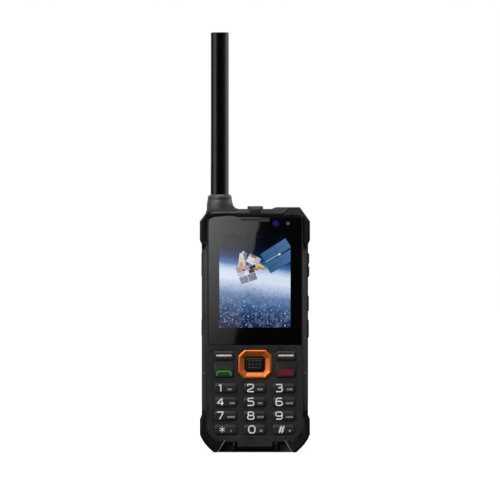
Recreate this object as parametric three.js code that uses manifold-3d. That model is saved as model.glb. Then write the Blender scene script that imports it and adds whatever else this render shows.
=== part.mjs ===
// Rugged satellite phone: bar handset with a screw-in stick antenna, as an assembly of its separate pieces.
// Millimetres. +Z is up along the handset, the keypad faces -Y, +X is to the right seen from the keypad side.
// The origin is the middle of the bottom end, so the phone stands on z = 0.
import * as THREE from 'three';
import { mergeVertices } from 'three/addons/utils/BufferGeometryUtils.js';
import Module from 'manifold-3d';

const wasm = await Module();
wasm.setup();

// ---------------------------------------------------------------- driving dimensions
// Outline of the handset, seen from the front.
const BUMPER_HALF = 28.45; // half width across the corner bumpers
const WAIST_HALF = 27.48; // half width of the rear housing between the bumpers
const FRONT_HALF = 27.05; // half width of the front housing between the bumpers
const FACE_HALF = 25.4; // half width of both housings inside the bumpers
const FACE_BOTTOM = 6.2;
const FACE_CORNER = 6.5;
const FACE_TOP = 122.6;
const LENS_SHOULDER = 4.4; // round of the housings beside the cover lens
const SEAM_FOOT = 19.2; // where the seam of a lower bumper meets the bottom end
const SEAM_KNEE = 15.8;
const LOWER_STEP = 18.4;
const UPPER_STEP = 108.4;
const STEP_RISE = 2;
const TOP = 125.6; // middle of the top end
const SHOULDER_TOP = 126.5;
const BOSS_SHOULDER = 124.1; // top of the front housing below the antenna boss

// Depth levels, from the front to the back.
const HALF_DEPTH = 12;
const FACE_Y = -11.4;
const LENS_Y = -11.2;
const LENS_THICK = 1.15;
const LEDGE_FRONT_Y = -10;
const LEDGE_BACK_Y = -9;
const PARTING_Y = -6.15;
const DOME_Y = -7.4;
const PARTITION_Y = -1.6;
const BAY_Y = -0.4;
const REAR_Y = 10.2;
const SEAM = 0.12; // gap between a bumper and the housings
const FIT = 0.1; // gap around pieces that sit in a recess
const FRONT_RIM = 0.8; // bevel round the front housing
const REAR_RIM = 0.5;
const FRONT_SIDE_BEVEL = { inner: 24.6, end: -8.9 };
const REAR_SIDE_BEVEL = { inner: 24.9, end: 8 };
const REACH = 300; // longer than the handset, for tools that cut right through

// Space inside the housings.
const CAVITY_HALF = 23.1;
const CAVITY_BOTTOM = 8;
const FRONT_CAVITY_TOP = 121.2;
const REAR_CAVITY_TOP = 119.3;
const CAVITY_CORNER = 3;
const BAY = { half: 21.5, bottom: 12, top: 76, corner: 2 };
const UPPER_SPACE = { half: 16.5, bottom: 90, top: 118.5, back: 8.4 };
const SEAL = { outer: 22.85, inner: 21.95, bottom: 10.65, top: 77.35, corner: 3.35, depth: 0.75, gap: 0.05 };

// Parts on the inside.
const BOARD = { half: 22.5, bottom: 8.6, top: 118.7, corner: 2.5, y: -6.8, thick: 1 };
const BOARD_PARTS = [
	{ x0: -4, x1: 12, z0: 78, z1: 92, height: 1.4 }, // card socket
	{ x0: 9, x1: 17, z0: 66, z1: 72, height: 3 }, // battery contacts
	{ x0: -20, x1: -12, z0: 20, z1: 50, height: 1.6 }, // radio module
];
const SHIELD_CAN = { x0: -20, x1: -6, z0: 88, z1: 114, height: 2.5 };
const SPEAKER = { half: 9, front: 2, back: 6.8, bottom: 91.5, top: 101.5 };
const BATTERY = { gap: 0.6, corner: 1.6, clearance: 0.4, edge: 0.5 };

// Top end. The front rim is a low ridge between a trench along the cover lens and a slope up to the end.
const TRENCH = { reach: 1.7, floor: -10.2, wall: 1.6, rise: 1.35, bottom: 120.8 };
const RIDGE = { crest: 123.6, back: -9.9, top: 126.6 };
const BUMPER_SLOPE = { crest: 121.4, back: -9.6, top: 126.6 };
const REAR_SEAM_SHIFT = 0.45; // the upper seam of the rear housing lies this much further out

// Bottom end, with a pocket on each side and a rib in each pocket.
const UNDERCUT = { top: 3.6, foot: 0.3, back: -6.6 };
const POCKET = { inner: 9, outer: 19, top: 5.7, shelf: -8.6, shelfTop: 5.1 };
const RIB = { inner: 10.2, outer: 11.5, top: 5.3, front: -10.9, knee: 4.3, footFront: -8.4 };
const MICROPHONE = { x: -1.7, z: 7.4, radius: 0.5, depth: 1.5 };

// Display side.
const LENS = { half: 24.1, bottom: 55.4, top: 121.5, corner: 2.9 };
const DISPLAY = { half: 20.3, bottom: 57.4, top: 116, front: -9.9, back: -7.3 };
const EARPIECE = { length: 14.4, height: 1, corner: 0.45, z: 120, front: -10.95, back: -10.15 };
const RECEIVER = { half: 6, front: -8.9, back: -7.2, bottom: 116.6, top: 121 };
const SENSOR = { x: 10.8, z: 118.2, radius: 1.7 };
const CAMERA = { x: 17.1, z: 118.1, radius: 1.1 };
const EYE = { front: -11.1, shoulder: -10, barrel: 2, back: -7.6, hole: 2.2 };
const SOUND_SLOT = { half: 7, bottom: 119.4, top: 120.6 };

// Keypad.
const WEB = { half: 22.25, bottom: 8.75, top: 54.25, corner: 4, front: -11.1, back: -9.6 };
const KEY_FRONT_Y = -11.8;
const KEY_FOOT_Y = -8.8;
const DOMES = { half: 21, front: DOME_Y, back: DOME_Y + 0.25, bottom: 9.8, top: 53.4 };
const KEY_COLUMN = 15;
const KEY_ROW = 7.13;
const KEY_TOP_ROW_Z = 33.25;
const KEY_GAP = 0.12;
const KEY_FLANGE = 0.25;
const NUMBER_KEY = { width: 11.6, height: 5.2, corner: 1.4 };
const SOFT_KEY = { width: 10.2, height: 4.5, corner: 1, x: 16, z: 49.95 };
const CALL_KEY = { width: 10.2, height: 8.4, corner: 1, x: 16, z: 42.8 };
const NAV = {
	width: 17.2,
	height: 14.8,
	chamfer: 3,
	z: 45.5,
	holeWidth: 9.9,
	holeHeight: 7.6,
	back: -9.8,
	rim: 1.5,
	dishFloor: -10.9,
	slopeWidth: 1.9,
};
const ACTUATOR = {
	width: 15,
	height: 12.6,
	chamfer: 2.4,
	front: -9.3,
	back: -8.8,
	holeHalf: 5.15,
	holeHalfHeight: 3.95,
};
const OK_KEY = { width: 9, height: 6.6, corner: 0.8, front: -11.3 };

// Side controls. Each sits in a pocket in the side wall of the rear housing.
const SIDE_Y = 1;
const SIDE_KEY_WIDTH = 4.4;
const SIDE_KEY_DEPTH = 1.4;
const SIDE_GAP = 0.15;
const VOLUME = { bottom: 90.5, top: 102.8, proud: 0.7, notch: 0.9, floor: 25.5 };
const RIGHT_KEYS = { upper: { bottom: 72.7, top: 80.9 }, lower: { bottom: 59, top: 68.5 } };
const SOS_KEY = { bottom: 60, top: 68.8, proud: 0.2 };
const SIDE_KEY_PROUD = 0.47;
const SIDE_FLOOR = 25.3;
const PLUNGER = { bore: 1.1, radius: 0.85, end: 23.6, length: 1.2 };
const PORT = { bottom: 90.9, top: 102.8, front: -3.4, back: 4.5, thick: 1.1, proud: 0.2 };
const PLUG = { length: 0.9, front: -5.6, back: -2.1, half: 4.6 };
const USB_PORT = { outer: -24.4, inner: -17, front: -1, back: 2.2, bottom: 92.4, top: 101.3 };
const PORT_TUNNEL = { end: -16, front: -1.5, back: 2.7, bottom: 91.8, top: 101.9 };

// Antenna, on its own axis.
const ANTENNA = { x: -18.2, y: 1, radius: 4.7, tip: 217, foot: 129, bore: 3.3, boreTop: 213, tipBevel: 0.5 };
const CORE = { radius: 2.6, bottom: 129.3, top: 211 };
const STUD = { radius: 2.6, bottom: 121.9, headRadius: 4.2, headBottom: 127.6, top: 128.8 };
const BOSS = { radius: 6.75, waist: 6.55, neck: 6.3, bottom: 119.4, shoulder: 128, rim: 129.3, top: 130.5 };
const BOSS_WEB = { half: 4.6, top: 128.9, start: -7.7, bend: -11.4 };
const SOCKET = { radius: 3, bottom: 121.4, mouth: 4.95, step: 127.4 };
const COLLAR = { radius: 6.3, shoulder: 5.7, neck: 5, bottom: 130.65, top: 133.2 };

// Torch on the top end. Its nose shows in a notch of the front rim.
const TORCH = { x: 0.2, y: 1, radius: 4.1, bore: 3.1, top: 127.1, bottom: 121 };
const TORCH_LENS = { radius: 3, crown: 2, rim: 0.9, edge: 0.3, top: 0.1, seat: 2 };
const TORCH_NOSE = { half: 2.4, bottom: 123.6, front: -10.9, slope: 1 };
const NOTCH = { half: 2.7, bottom: 123.4 };

// Back side.
const DOOR = { half: 23.2, bottom: 9, top: 88, corner: 5, front: 10.3, rim: 0.8 };
const GROOVES = { first: 24, pitch: 9, count: 5, half: 15, height: 2.8, depth: 0.5 };
const DOOR_SCREW = { x: 17, z: 82, radius: 3.2, shank: 1.4, length: 7.7, sink: 0.05, head: 0.8, slot: 1.2 };
const CASE_SCREW = { radius: 2, shank: 0.9, sink: 0.3, head: 1.2, length: 6.5, slot: 0.6 };
const CASE_SCREWS = [[-20.6, 93.5], [20.6, 93.5], [-20.6, 113], [20.6, 113]];
const GRILLE = { pitch: 3, count: 5, width: 1.4, bottom: 92, top: 101, floor: 7 };
const REAR_CAMERA = { x: 0, z: 110.5, radius: 4.2, front: 5, barrel: 3.4, shoulder: 7.2, rim: 0.4, back: 11 };
const FLASH = { x: 9.5, z: 110.5, radius: 1.6, front: 7.5, back: 10.4 };

// Fineness of round stretches.
const ARC_STEPS = 4;
const KEY_ARC_STEPS = 2;
const ROUND = 24;
const EYE_ROUND = 20;
const BORE_ROUND = 14;
const SMALL_ROUND = 10;

// ---------------------------------------------------------------- finishes
const FINISHES = {
	case_plastic: { color: 0x202022, roughness: 0.55, metalness: 0 },
	bumper_rubber: { color: 0x141415, roughness: 0.8, metalness: 0 },
	lens_glass: { color: 0x050507, roughness: 0.06, metalness: 0 },
	screen: { color: 0x23528c, roughness: 0.2, metalness: 0 },
	key_plastic: { color: 0x262628, roughness: 0.5, metalness: 0 },
	call_green: { color: 0x1b3a22, roughness: 0.5, metalness: 0 },
	end_red: { color: 0x4a1c20, roughness: 0.5, metalness: 0 },
	nav_orange: { color: 0xf07f2d, roughness: 0.3, metalness: 0.2 },
	antenna_plastic: { color: 0x18181a, roughness: 0.4, metalness: 0 },
	violet_window: { color: 0x1a0f6e, roughness: 0.1, metalness: 0 },
	camera_glass: { color: 0x3a3a3e, roughness: 0.1, metalness: 0 },
	clear_lens: { color: 0xb9bcc0, roughness: 0.15, metalness: 0 },
	steel: { color: 0x8d9095, roughness: 0.35, metalness: 1 },
	brass: { color: 0xb5954a, roughness: 0.35, metalness: 1 },
	board_green: { color: 0x14502f, roughness: 0.6, metalness: 0 },
	battery_wrap: { color: 0x2d2d31, roughness: 0.6, metalness: 0 },
	seal_rubber: { color: 0x5a2a1c, roughness: 0.8, metalness: 0 },
};

// ---------------------------------------------------------------- solids
// A closed three.js geometry as a solid that can be joined and cut.
function solid(geometry) {
	const bare = geometry.clone();
	bare.deleteAttribute('normal');
	bare.deleteAttribute('uv');
	const merged = mergeVertices(bare, 1e-4);
	const index = merged.index.array;
	return new wasm.Manifold(
		new wasm.Mesh({
			numProp: 3,
			vertProperties: new Float32Array(merged.attributes.position.array),
			triVerts: new Uint32Array(index),
		}),
	);
}

function geometryOf(body) {
	const mesh = body.getMesh();
	const geometry = new THREE.BufferGeometry();
	geometry.setAttribute('position', new THREE.BufferAttribute(new Float32Array(mesh.vertProperties), 3));
	geometry.setIndex(new THREE.BufferAttribute(new Uint32Array(mesh.triVerts), 1));
	geometry.computeVertexNormals();
	return geometry;
}

const join = (...bodies) => bodies.reduce((sum, body) => sum.add(body));
const cut = (body, ...tools) => tools.reduce((rest, tool) => rest.subtract(tool), body);

// Corner points of an outline, without repeats, anticlockwise.
function outlinePoints(shape) {
	const points = shape.extractPoints(ARC_STEPS).shape;
	const distinct = points.filter((p, i) => p.distanceTo(points[(i + 1) % points.length]) > 1e-3);
	return THREE.ShapeUtils.area(distinct) > 0 ? distinct : distinct.reverse();
}

// The outline moved outwards by a distance (inwards when it is negative), with mitred corners.
function grow(shape, distance) {
	const points = outlinePoints(shape);
	const count = points.length;
	const normal = (a, b) => new THREE.Vector2(b.y - a.y, a.x - b.x).normalize();
	return new THREE.Shape(
		points.map((point, i) => {
			const before = normal(points[(i + count - 1) % count], point);
			const after = normal(point, points[(i + 1) % count]);
			const reach = distance / (1 + before.dot(after));
			return point.clone().add(before.add(after).multiplyScalar(reach));
		}),
	);
}

// An (x, z) outline as a slab from front to back, its two rims bevelled within the outline.
function slab(shape, front, back, bevel = 0, bevelSteps = 1, slope = bevel) {
	const geometry = new THREE.ExtrudeGeometry(shape, {
		depth: back - front - 2 * slope,
		bevelEnabled: bevel > 0,
		bevelSize: bevel,
		bevelOffset: -bevel,
		bevelThickness: slope,
		bevelSegments: bevelSteps,
		curveSegments: ARC_STEPS,
	});
	geometry.rotateX(Math.PI / 2);
	geometry.translate(0, back - slope, 0);
	return solid(geometry);
}

// A slab with only its front rim bevelled.
function frontBevelSlab(shape, front, back, bevel, bevelSteps = 1, slope = bevel) {
	const long = slab(shape, front, back + 2 * slope, bevel, bevelSteps, slope);
	return cut(long, box(-REACH, REACH, back, back + REACH, -REACH, REACH));
}

// A slab with only its back rim bevelled.
function backBevelSlab(shape, front, back, bevel, bevelSteps = 1, slope = bevel) {
	const long = slab(shape, front - 2 * slope, back, bevel, bevelSteps, slope);
	return cut(long, box(-REACH, REACH, front - REACH, front, -REACH, REACH));
}

function box(x0, x1, y0, y1, z0, z1) {
	const geometry = new THREE.BoxGeometry(x1 - x0, y1 - y0, z1 - z0);
	geometry.translate((x0 + x1) / 2, (y0 + y1) / 2, (z0 + z1) / 2);
	return solid(geometry);
}

const rod = (radius, bottom, top, x = 0, y = 0) =>
	turned([[0, bottom], [radius, bottom], [radius, top], [0, top]], x, y);

const centredBlock = ({ half, front, back, bottom, top }) => box(-half, half, front, back, bottom, top);

// A solid of revolution about a vertical axis at (x, y), from (radius, height) pairs, bottom to top.
function turned(profile, x = 0, y = 0) {
	const geometry = new THREE.LatheGeometry(profile.map(([r, h]) => new THREE.Vector2(r, h)), ROUND);
	geometry.rotateX(Math.PI / 2);
	geometry.translate(x, y, 0);
	return solid(geometry);
}

// A solid of revolution about the depth axis through (x, z), from (radius, y) pairs, back to front.
function turnedInDepth(profile, x, z, steps = ROUND) {
	const points = profile.map(([r, y]) => new THREE.Vector2(r, y));
	const geometry = new THREE.LatheGeometry(points, steps);
	geometry.translate(x, 0, z);
	return solid(geometry);
}

const disc = (radius, front, back, x, z, steps = ROUND) =>
	turnedInDepth([[0, front], [radius, front], [radius, back], [0, back]], x, z, steps);

// A prism along X from an outline in (y, z).
function prismAlongX(points, x0, x1) {
	const shape = new THREE.Shape(points.map(([y, z]) => new THREE.Vector2(y, z)));
	const geometry = new THREE.ExtrudeGeometry(shape, { depth: x1 - x0, bevelEnabled: false });
	geometry.rotateX(Math.PI / 2);
	geometry.rotateZ(Math.PI / 2);
	geometry.translate(x0, 0, 0);
	return solid(geometry);
}

// A prism along Z from an outline in (x, y).
function prismAlongZ(points, z0, z1) {
	const shape = new THREE.Shape(points.map(([x, y]) => new THREE.Vector2(x, y)));
	const geometry = new THREE.ExtrudeGeometry(shape, { depth: z1 - z0, bevelEnabled: false });
	geometry.translate(0, 0, z0);
	return solid(geometry);
}

// ---------------------------------------------------------------- outlines
function roundedRect(x0, x1, z0, z1, radius) {
	const shape = new THREE.Shape();
	shape.absarc(x1 - radius, z0 + radius, radius, -Math.PI / 2, 0, false);
	shape.absarc(x1 - radius, z1 - radius, radius, 0, Math.PI / 2, false);
	shape.absarc(x0 + radius, z1 - radius, radius, Math.PI / 2, Math.PI, false);
	shape.absarc(x0 + radius, z0 + radius, radius, Math.PI, 1.5 * Math.PI, false);
	shape.closePath();
	return shape;
}

// Outline of a key cap, its round corners as a few short edges.
function keyOutline({ width, height, corner }, x, z) {
	const outline = roundedRect(x - width / 2, x + width / 2, z - height / 2, z + height / 2, corner);
	return new THREE.Shape(outline.getPoints(KEY_ARC_STEPS).slice(0, -1));
}

// Octagon with equal corner chamfers, centred at (0, z).
function octagon(width, height, chamfer, z) {
	const w = width / 2;
	const h = height / 2;
	const quarter = [[w - chamfer, -h], [w, chamfer - h], [w, h - chamfer], [w - chamfer, h]];
	const half = [...quarter, ...quarter.map(([x, y]) => [-x, -y])];
	return new THREE.Shape(half.map(([x, y]) => new THREE.Vector2(x, y + z)));
}

// Lower half of a housing outline, drawn from the left waist round the bottom to the right waist.
function lowerOutline(shape, waist) {
	shape.moveTo(-waist, LOWER_STEP + STEP_RISE);
	shape.lineTo(-FACE_HALF, LOWER_STEP);
	shape.absarc(FACE_CORNER - FACE_HALF, FACE_BOTTOM + FACE_CORNER, FACE_CORNER, Math.PI, 1.5 * Math.PI, false);
	shape.lineTo(-SEAM_KNEE, FACE_BOTTOM);
	shape.lineTo(-SEAM_FOOT, 0);
	shape.lineTo(SEAM_FOOT, 0);
	shape.lineTo(SEAM_KNEE, FACE_BOTTOM);
	shape.absarc(FACE_HALF - FACE_CORNER, FACE_BOTTOM + FACE_CORNER, FACE_CORNER, -Math.PI / 2, 0, false);
	shape.lineTo(FACE_HALF, LOWER_STEP);
	shape.lineTo(waist, LOWER_STEP + STEP_RISE);
}

// Outline of one housing. The antenna corner ends at cornerTop with a round of cornerRadius. The seam of the
// other upper corner lies seamShift further out.
function housingOutline(waist, cornerTop, cornerRadius, seamShift) {
	const shape = new THREE.Shape();
	lowerOutline(shape, waist);
	shape.lineTo(waist, UPPER_STEP - STEP_RISE);
	shape.lineTo(FACE_HALF, UPPER_STEP);
	shape.absarc(FACE_HALF - LENS_SHOULDER, FACE_TOP - LENS_SHOULDER, LENS_SHOULDER, 0, Math.PI / 2, false);
	shape.lineTo(14.5 + seamShift, FACE_TOP);
	shape.lineTo(17.7 + seamShift, SHOULDER_TOP);
	shape.lineTo(10.9, SHOULDER_TOP);
	shape.lineTo(8.5, TOP);
	shape.lineTo(-7.7, TOP);
	shape.lineTo(-10.6, cornerTop);
	shape.absarc(cornerRadius - FACE_HALF, cornerTop - cornerRadius, cornerRadius, Math.PI / 2, Math.PI, false);
	shape.lineTo(-FACE_HALF, UPPER_STEP);
	shape.lineTo(-waist, UPPER_STEP - STEP_RISE);
	shape.closePath();
	return shape;
}

const frontOutline = housingOutline(FRONT_HALF, BOSS_SHOULDER, 4.2, 0);
const rearOutline = housingOutline(WAIST_HALF, TOP, 2, REAR_SEAM_SHIFT);

// Outline of the cover lens: its upper left corner swells towards the antenna boss.
function lensOutline() {
	const { half, bottom, top, corner } = LENS;
	const swell = 0.7;
	const shape = new THREE.Shape();
	shape.moveTo(-half, bottom);
	shape.lineTo(half, bottom);
	shape.absarc(half - corner, top - corner, corner, 0, Math.PI / 2, false);
	shape.lineTo(-8.5, top);
	shape.quadraticCurveTo(-10.5, top + swell, -14, top + swell);
	shape.lineTo(corner - half + 1.2, top + 0.2);
	shape.quadraticCurveTo(-half, top - 0.2, -half, top - corner);
	shape.closePath();
	return shape;
}

const lensShape = lensOutline();

// ---------------------------------------------------------------- assembly
const phone = new THREE.Group();
phone.name = 'satellite_phone';

// Adds a piece to a group. A solid is in the group's own frame, unless the piece has a place of its own.
function piece(name, body, finish, group = phone, place = [0, 0, 0]) {
	const geometry = body.isBufferGeometry ? body : geometryOf(body);
	const mesh = new THREE.Mesh(geometry, new THREE.MeshStandardMaterial(FINISHES[finish]));
	mesh.name = name;
	mesh.position.set(...place);
	group.add(mesh);
	return mesh;
}

function subassembly(x, y, z) {
	const group = new THREE.Group();
	group.position.set(x, y, z);
	phone.add(group);
	return group;
}

// ---------------------------------------------------------------- housings
const SIDES = [-1, 1];

// From inner to outer, in rising order, on the right side (+1) or the left side (-1).
const sideSpan = (side, inner, outer) => [side * inner, side * outer].sort((a, b) => a - b);

// Wedge along each straight side that turns one corner of a housing into a bevel.
function sideBevels({ inner, end }, faceY, outside) {
	const overlap = 5;
	const section = [[inner, faceY], [outside, faceY], [outside, end]];
	const mirrored = section.map(([x, y]) => [-x, y]).reverse();
	return [section, mirrored].map((side) => prismAlongZ(side, LOWER_STEP - overlap, UPPER_STEP + overlap));
}

// The lower front edge slopes back between the bumpers.
function undercut() {
	const { top, foot, back } = UNDERCUT;
	const ahead = FACE_Y - 1;
	return prismAlongX([[ahead, top], [back, foot], [back, -1], [ahead, -1]], -FACE_HALF, FACE_HALF);
}

// Deeper pocket in the undercut, next to a bumper. side is +1 on the right and -1 on the left.
function bottomPocket(side) {
	const { inner, outer, top, shelf, shelfTop } = POCKET;
	const { foot, back } = UNDERCUT;
	const ahead = FACE_Y - 1;
	const section = [[ahead, top], [shelf, shelfTop], [back, foot], [back, -1], [ahead, -1]];
	return prismAlongX(section, ...sideSpan(side, inner, outer));
}

// Rib that stands in a pocket.
function pocketRib(side) {
	const { inner, outer, top, front, knee, footFront } = RIB;
	const back = PARTING_Y - FIT / 2;
	const section = [[front, knee], [front + 0.4, top], [back, top], [back, 0], [footFront, 0]];
	return prismAlongX(section, ...sideSpan(side, inner, outer));
}

// Trench with a sloping wall along the top of the cover lens.
function lensTrench() {
	const { reach, floor, wall, rise, bottom } = TRENCH;
	const trench = slab(grow(lensShape, reach), FACE_Y - 3, floor, wall, 1, rise);
	return cut(trench, box(-REACH, REACH, -REACH, REACH, -REACH, bottom));
}

// Wedge that makes a front face slope back, from its crest to the top end.
function topWedge({ crest, back, top }, front) {
	const section = [[front - 1, crest], [front, crest], [back, top], [back, top + 1], [front - 1, top + 1]];
	return prismAlongX(section, -FACE_HALF - 5, FACE_HALF + 5);
}

// Notch in the top end that shows the nose of the torch.
function torchNotch() {
	return box(TORCH.x - NOTCH.half, TORCH.x + NOTCH.half, FACE_Y - 1, TORCH.y, NOTCH.bottom, TOP + 2);
}

function frontHousing() {
	const back = PARTING_Y - FIT / 2;
	const shell = frontBevelSlab(frontOutline, FACE_Y, back, FRONT_RIM);
	const cavity = slab(
		roundedRect(-CAVITY_HALF, CAVITY_HALF, CAVITY_BOTTOM, FRONT_CAVITY_TOP, CAVITY_CORNER),
		LEDGE_BACK_Y,
		back + 1,
	);
	const keypadOpening = slab(
		roundedRect(-WEB.half - FIT, WEB.half + FIT, WEB.bottom - FIT, WEB.top + FIT, WEB.corner),
		FACE_Y - 1,
		LEDGE_BACK_Y + 1,
	);
	const flangeRoom = slab(
		roundedRect(-CAVITY_HALF, CAVITY_HALF, CAVITY_BOTTOM, WEB.top + FIT, CAVITY_CORNER),
		WEB.back,
		LEDGE_BACK_Y + 1,
	);
	const lensRecess = slab(grow(lensShape, FIT), FACE_Y - 1, LEDGE_FRONT_Y);
	const ledge = { front: LEDGE_FRONT_Y - 1, back: LEDGE_BACK_Y + 1 };
	const displayOpening = centredBlock({
		...ledge,
		half: DISPLAY.half + FIT,
		bottom: DISPLAY.bottom - FIT,
		top: DISPLAY.top + FIT,
	});
	const soundSlot = centredBlock({ ...ledge, ...SOUND_SLOT });
	const eyeHoles = [SENSOR, CAMERA].map(({ x, z }) => disc(EYE.hole, ledge.front, ledge.back, x, z));
	const { x, z, radius, depth } = MICROPHONE;
	const microphoneHole = disc(radius, FACE_Y - 1, FACE_Y + depth, x, z, SMALL_ROUND);
	const sides = sideBevels(FRONT_SIDE_BEVEL, FACE_Y - 0.01, FRONT_HALF + 1);
	const ends = [undercut(), ...SIDES.map(bottomPocket), lensTrench(), topWedge(RIDGE, FACE_Y), torchNotch()];
	const withRibs = join(cut(shell, ...sides, ...ends), ...SIDES.map(pocketRib));
	const openings = [keypadOpening, flangeRoom, lensRecess, displayOpening, soundSlot, ...eyeHoles];
	return cut(withRibs, cavity, ...openings, microphoneHole);
}

// Pocket for a side key: side is +1 on the right and -1 on the left.
function sidePocket(side, floor, key) {
	const half = SIDE_KEY_WIDTH / 2 + SIDE_GAP;
	const [x0, x1] = sideSpan(side, floor, WAIST_HALF + 1);
	return box(x0, x1, SIDE_Y - half, SIDE_Y + half, key.bottom - SIDE_GAP, key.top + SIDE_GAP);
}

// Bore for the plunger of a side key, along X, from its pocket into the housing.
function sideBore(side, z) {
	const from = PLUNGER.end - 0.7;
	const to = SIDE_FLOOR + 0.5;
	const geometry = new THREE.CylinderGeometry(PLUNGER.bore, PLUNGER.bore, to - from, SMALL_ROUND);
	geometry.rotateZ(Math.PI / 2);
	geometry.translate((side * (from + to)) / 2, SIDE_Y, z);
	return solid(geometry);
}

const middle = (key) => (key.bottom + key.top) / 2;

// Pockets and plunger bores for all the side controls.
function sideKeyRooms() {
	const plungerKeys = [...Object.values(RIGHT_KEYS).map((key) => [1, key]), [-1, SOS_KEY]];
	return [
		sidePocket(1, VOLUME.floor, VOLUME),
		...plungerKeys.flatMap(([side, key]) => [sidePocket(side, SIDE_FLOOR, key), sideBore(side, middle(key))]),
	];
}

// Shallow seat for the port cover, and the tunnel of the socket behind it.
function portRooms() {
	const seatDepth = PORT.thick - PORT.proud + 0.3;
	const seat = box(
		-WAIST_HALF - 1,
		-WAIST_HALF + seatDepth,
		PORT.front - SIDE_GAP,
		PORT.back + 0.3,
		PORT.bottom - SIDE_GAP,
		PORT.top + SIDE_GAP,
	);
	const { end, front, back, bottom, top } = PORT_TUNNEL;
	return [seat, box(-WAIST_HALF, end, front, back, bottom, top)];
}

// Antenna boss on the top end, and the stepped socket inside it.
function boss() {
	const { radius, waist, neck, bottom, shoulder, rim, top } = BOSS;
	const profile = [[0, bottom], [radius, bottom], [radius, shoulder], [waist, rim], [neck, top], [0, top]];
	return join(turned(profile, ANTENNA.x, ANTENNA.y), bossWeb());
}

function bossSocket() {
	const { radius, bottom, mouth, step } = SOCKET;
	const open = BOSS.top + 2;
	const profile = [[0, bottom], [radius, bottom], [radius, step], [mouth, step], [mouth, open], [0, open]];
	return turned(profile, ANTENNA.x, ANTENNA.y);
}

function torchBore() {
	return rod(TORCH.radius + FIT, TORCH.bottom - 0.5, TOP + 3, TORCH.x, TORCH.y);
}

// Groove round the battery bay that holds the door seal.
function sealGroove() {
	const { outer, inner, bottom, top, corner, depth, gap } = SEAL;
	const wall = outer - inner;
	const outline = roundedRect(-outer - gap, outer + gap, bottom - gap, top + gap, corner);
	const island = roundedRect(gap - inner, inner - gap, bottom + wall + gap, top - wall - gap, corner - wall);
	return cut(slab(outline, REAR_Y - depth - gap, REAR_Y + 1), slab(island, REAR_Y - 2, REAR_Y + 2));
}

// Bores and openings in the back of the rear housing.
function backOpenings() {
	const { sink, head, length } = CASE_SCREW;
	const caseScrews = CASE_SCREWS.flatMap(([x, z]) => [
		disc(CASE_SCREW.radius + 0.2, REAR_Y - sink - head - FIT, REAR_Y + 1, x, z, BORE_ROUND),
		disc(CASE_SCREW.shank + 0.2, REAR_Y - length - 0.5, REAR_Y + 1, x, z, SMALL_ROUND),
	]);
	const screwEnd = HALF_DEPTH - DOOR_SCREW.length;
	const doorScrews = SIDES.map((side) =>
		disc(DOOR_SCREW.shank + 0.3, screwEnd - 1, REAR_Y + 1, side * DOOR_SCREW.x, DOOR_SCREW.z, BORE_ROUND),
	);
	const { pitch, count, width, bottom, top, floor } = GRILLE;
	const grille = Array.from({ length: count }, (_, i) => {
		const x = pitch * (i - (count - 1) / 2);
		return slab(roundedRect(x - width / 2, x + width / 2, bottom, top, width / 2 - 0.05), floor, REAR_Y + 1);
	});
	const eyes = [REAR_CAMERA, FLASH].map(({ x, z, radius }) => disc(radius + FIT, floor, REAR_Y + 1, x, z));
	return [...caseScrews, ...doorScrews, ...grille, ...eyes];
}

function rearHousing() {
	const front = PARTING_Y + FIT / 2;
	const shell = backBevelSlab(rearOutline, front, REAR_Y, REAR_RIM);
	const bevelled = cut(shell, torchNotch(), ...sideBevels(REAR_SIDE_BEVEL, REAR_Y + 0.01, WAIST_HALF + 1));
	const boardSpace = slab(
		roundedRect(-CAVITY_HALF, CAVITY_HALF, CAVITY_BOTTOM, REAR_CAVITY_TOP, CAVITY_CORNER),
		front - 1,
		PARTITION_Y,
	);
	const { half, bottom, top, back } = UPPER_SPACE;
	const upperSpace = box(-half, half, PARTITION_Y - 0.5, back, bottom, top);
	const bay = slab(roundedRect(-BAY.half, BAY.half, BAY.bottom, BAY.top, BAY.corner), BAY_Y, REAR_Y + 1);
	const body = join(cut(bevelled, boardSpace, upperSpace, bay), boss());
	const rooms = [...backOpenings(), ...sideKeyRooms(), ...portRooms()];
	return cut(body, bossSocket(), torchBore(), sealGroove(), ...rooms);
}

// Web that blends the antenna boss into the top end with a concave curve.
function bossWeb() {
	const { half, top, start, bend } = BOSS_WEB;
	const shape = new THREE.Shape();
	shape.moveTo(ANTENNA.x, TOP - 2);
	shape.lineTo(start, TOP - 2);
	shape.lineTo(start, TOP);
	shape.quadraticCurveTo(bend, TOP + 0.2, ANTENNA.x + BOSS.radius - 0.1, top);
	shape.lineTo(ANTENNA.x, top);
	shape.closePath();
	return slab(shape, ANTENNA.y - half, ANTENNA.y + half, 0.8);
}

// ---------------------------------------------------------------- corner bumpers
// Corner blocks reach this far in, under the housings that are cut out of them.
const BLOCK_INNER = 12;
const LOWER_BLOCK = { foot: 21.3, bend: [27, 4.6], side: 9.3, shoulder: 17, waist: 19.5, top: 22 };
const UPPER_BLOCK = { bottom: 105, waist: 107.5, shoulder: 109.5, side: 119.2 };
const UPPER_BLOCK_TOP = { left: 24.9, right: 23.2 };

// Cuts the housings, with a seam all round, out of a block in the shape of a corner.
function bumper(shape) {
	const block = slab(shape, -HALF_DEPTH, HALF_DEPTH, 1.1, 2, 1.5);
	const frontCore = slab(grow(frontOutline, SEAM), -HALF_DEPTH - 1, PARTING_Y);
	const rearCore = slab(grow(rearOutline, SEAM), PARTING_Y - 0.5, HALF_DEPTH + 1);
	return cut(block, frontCore, rearCore);
}

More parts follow.
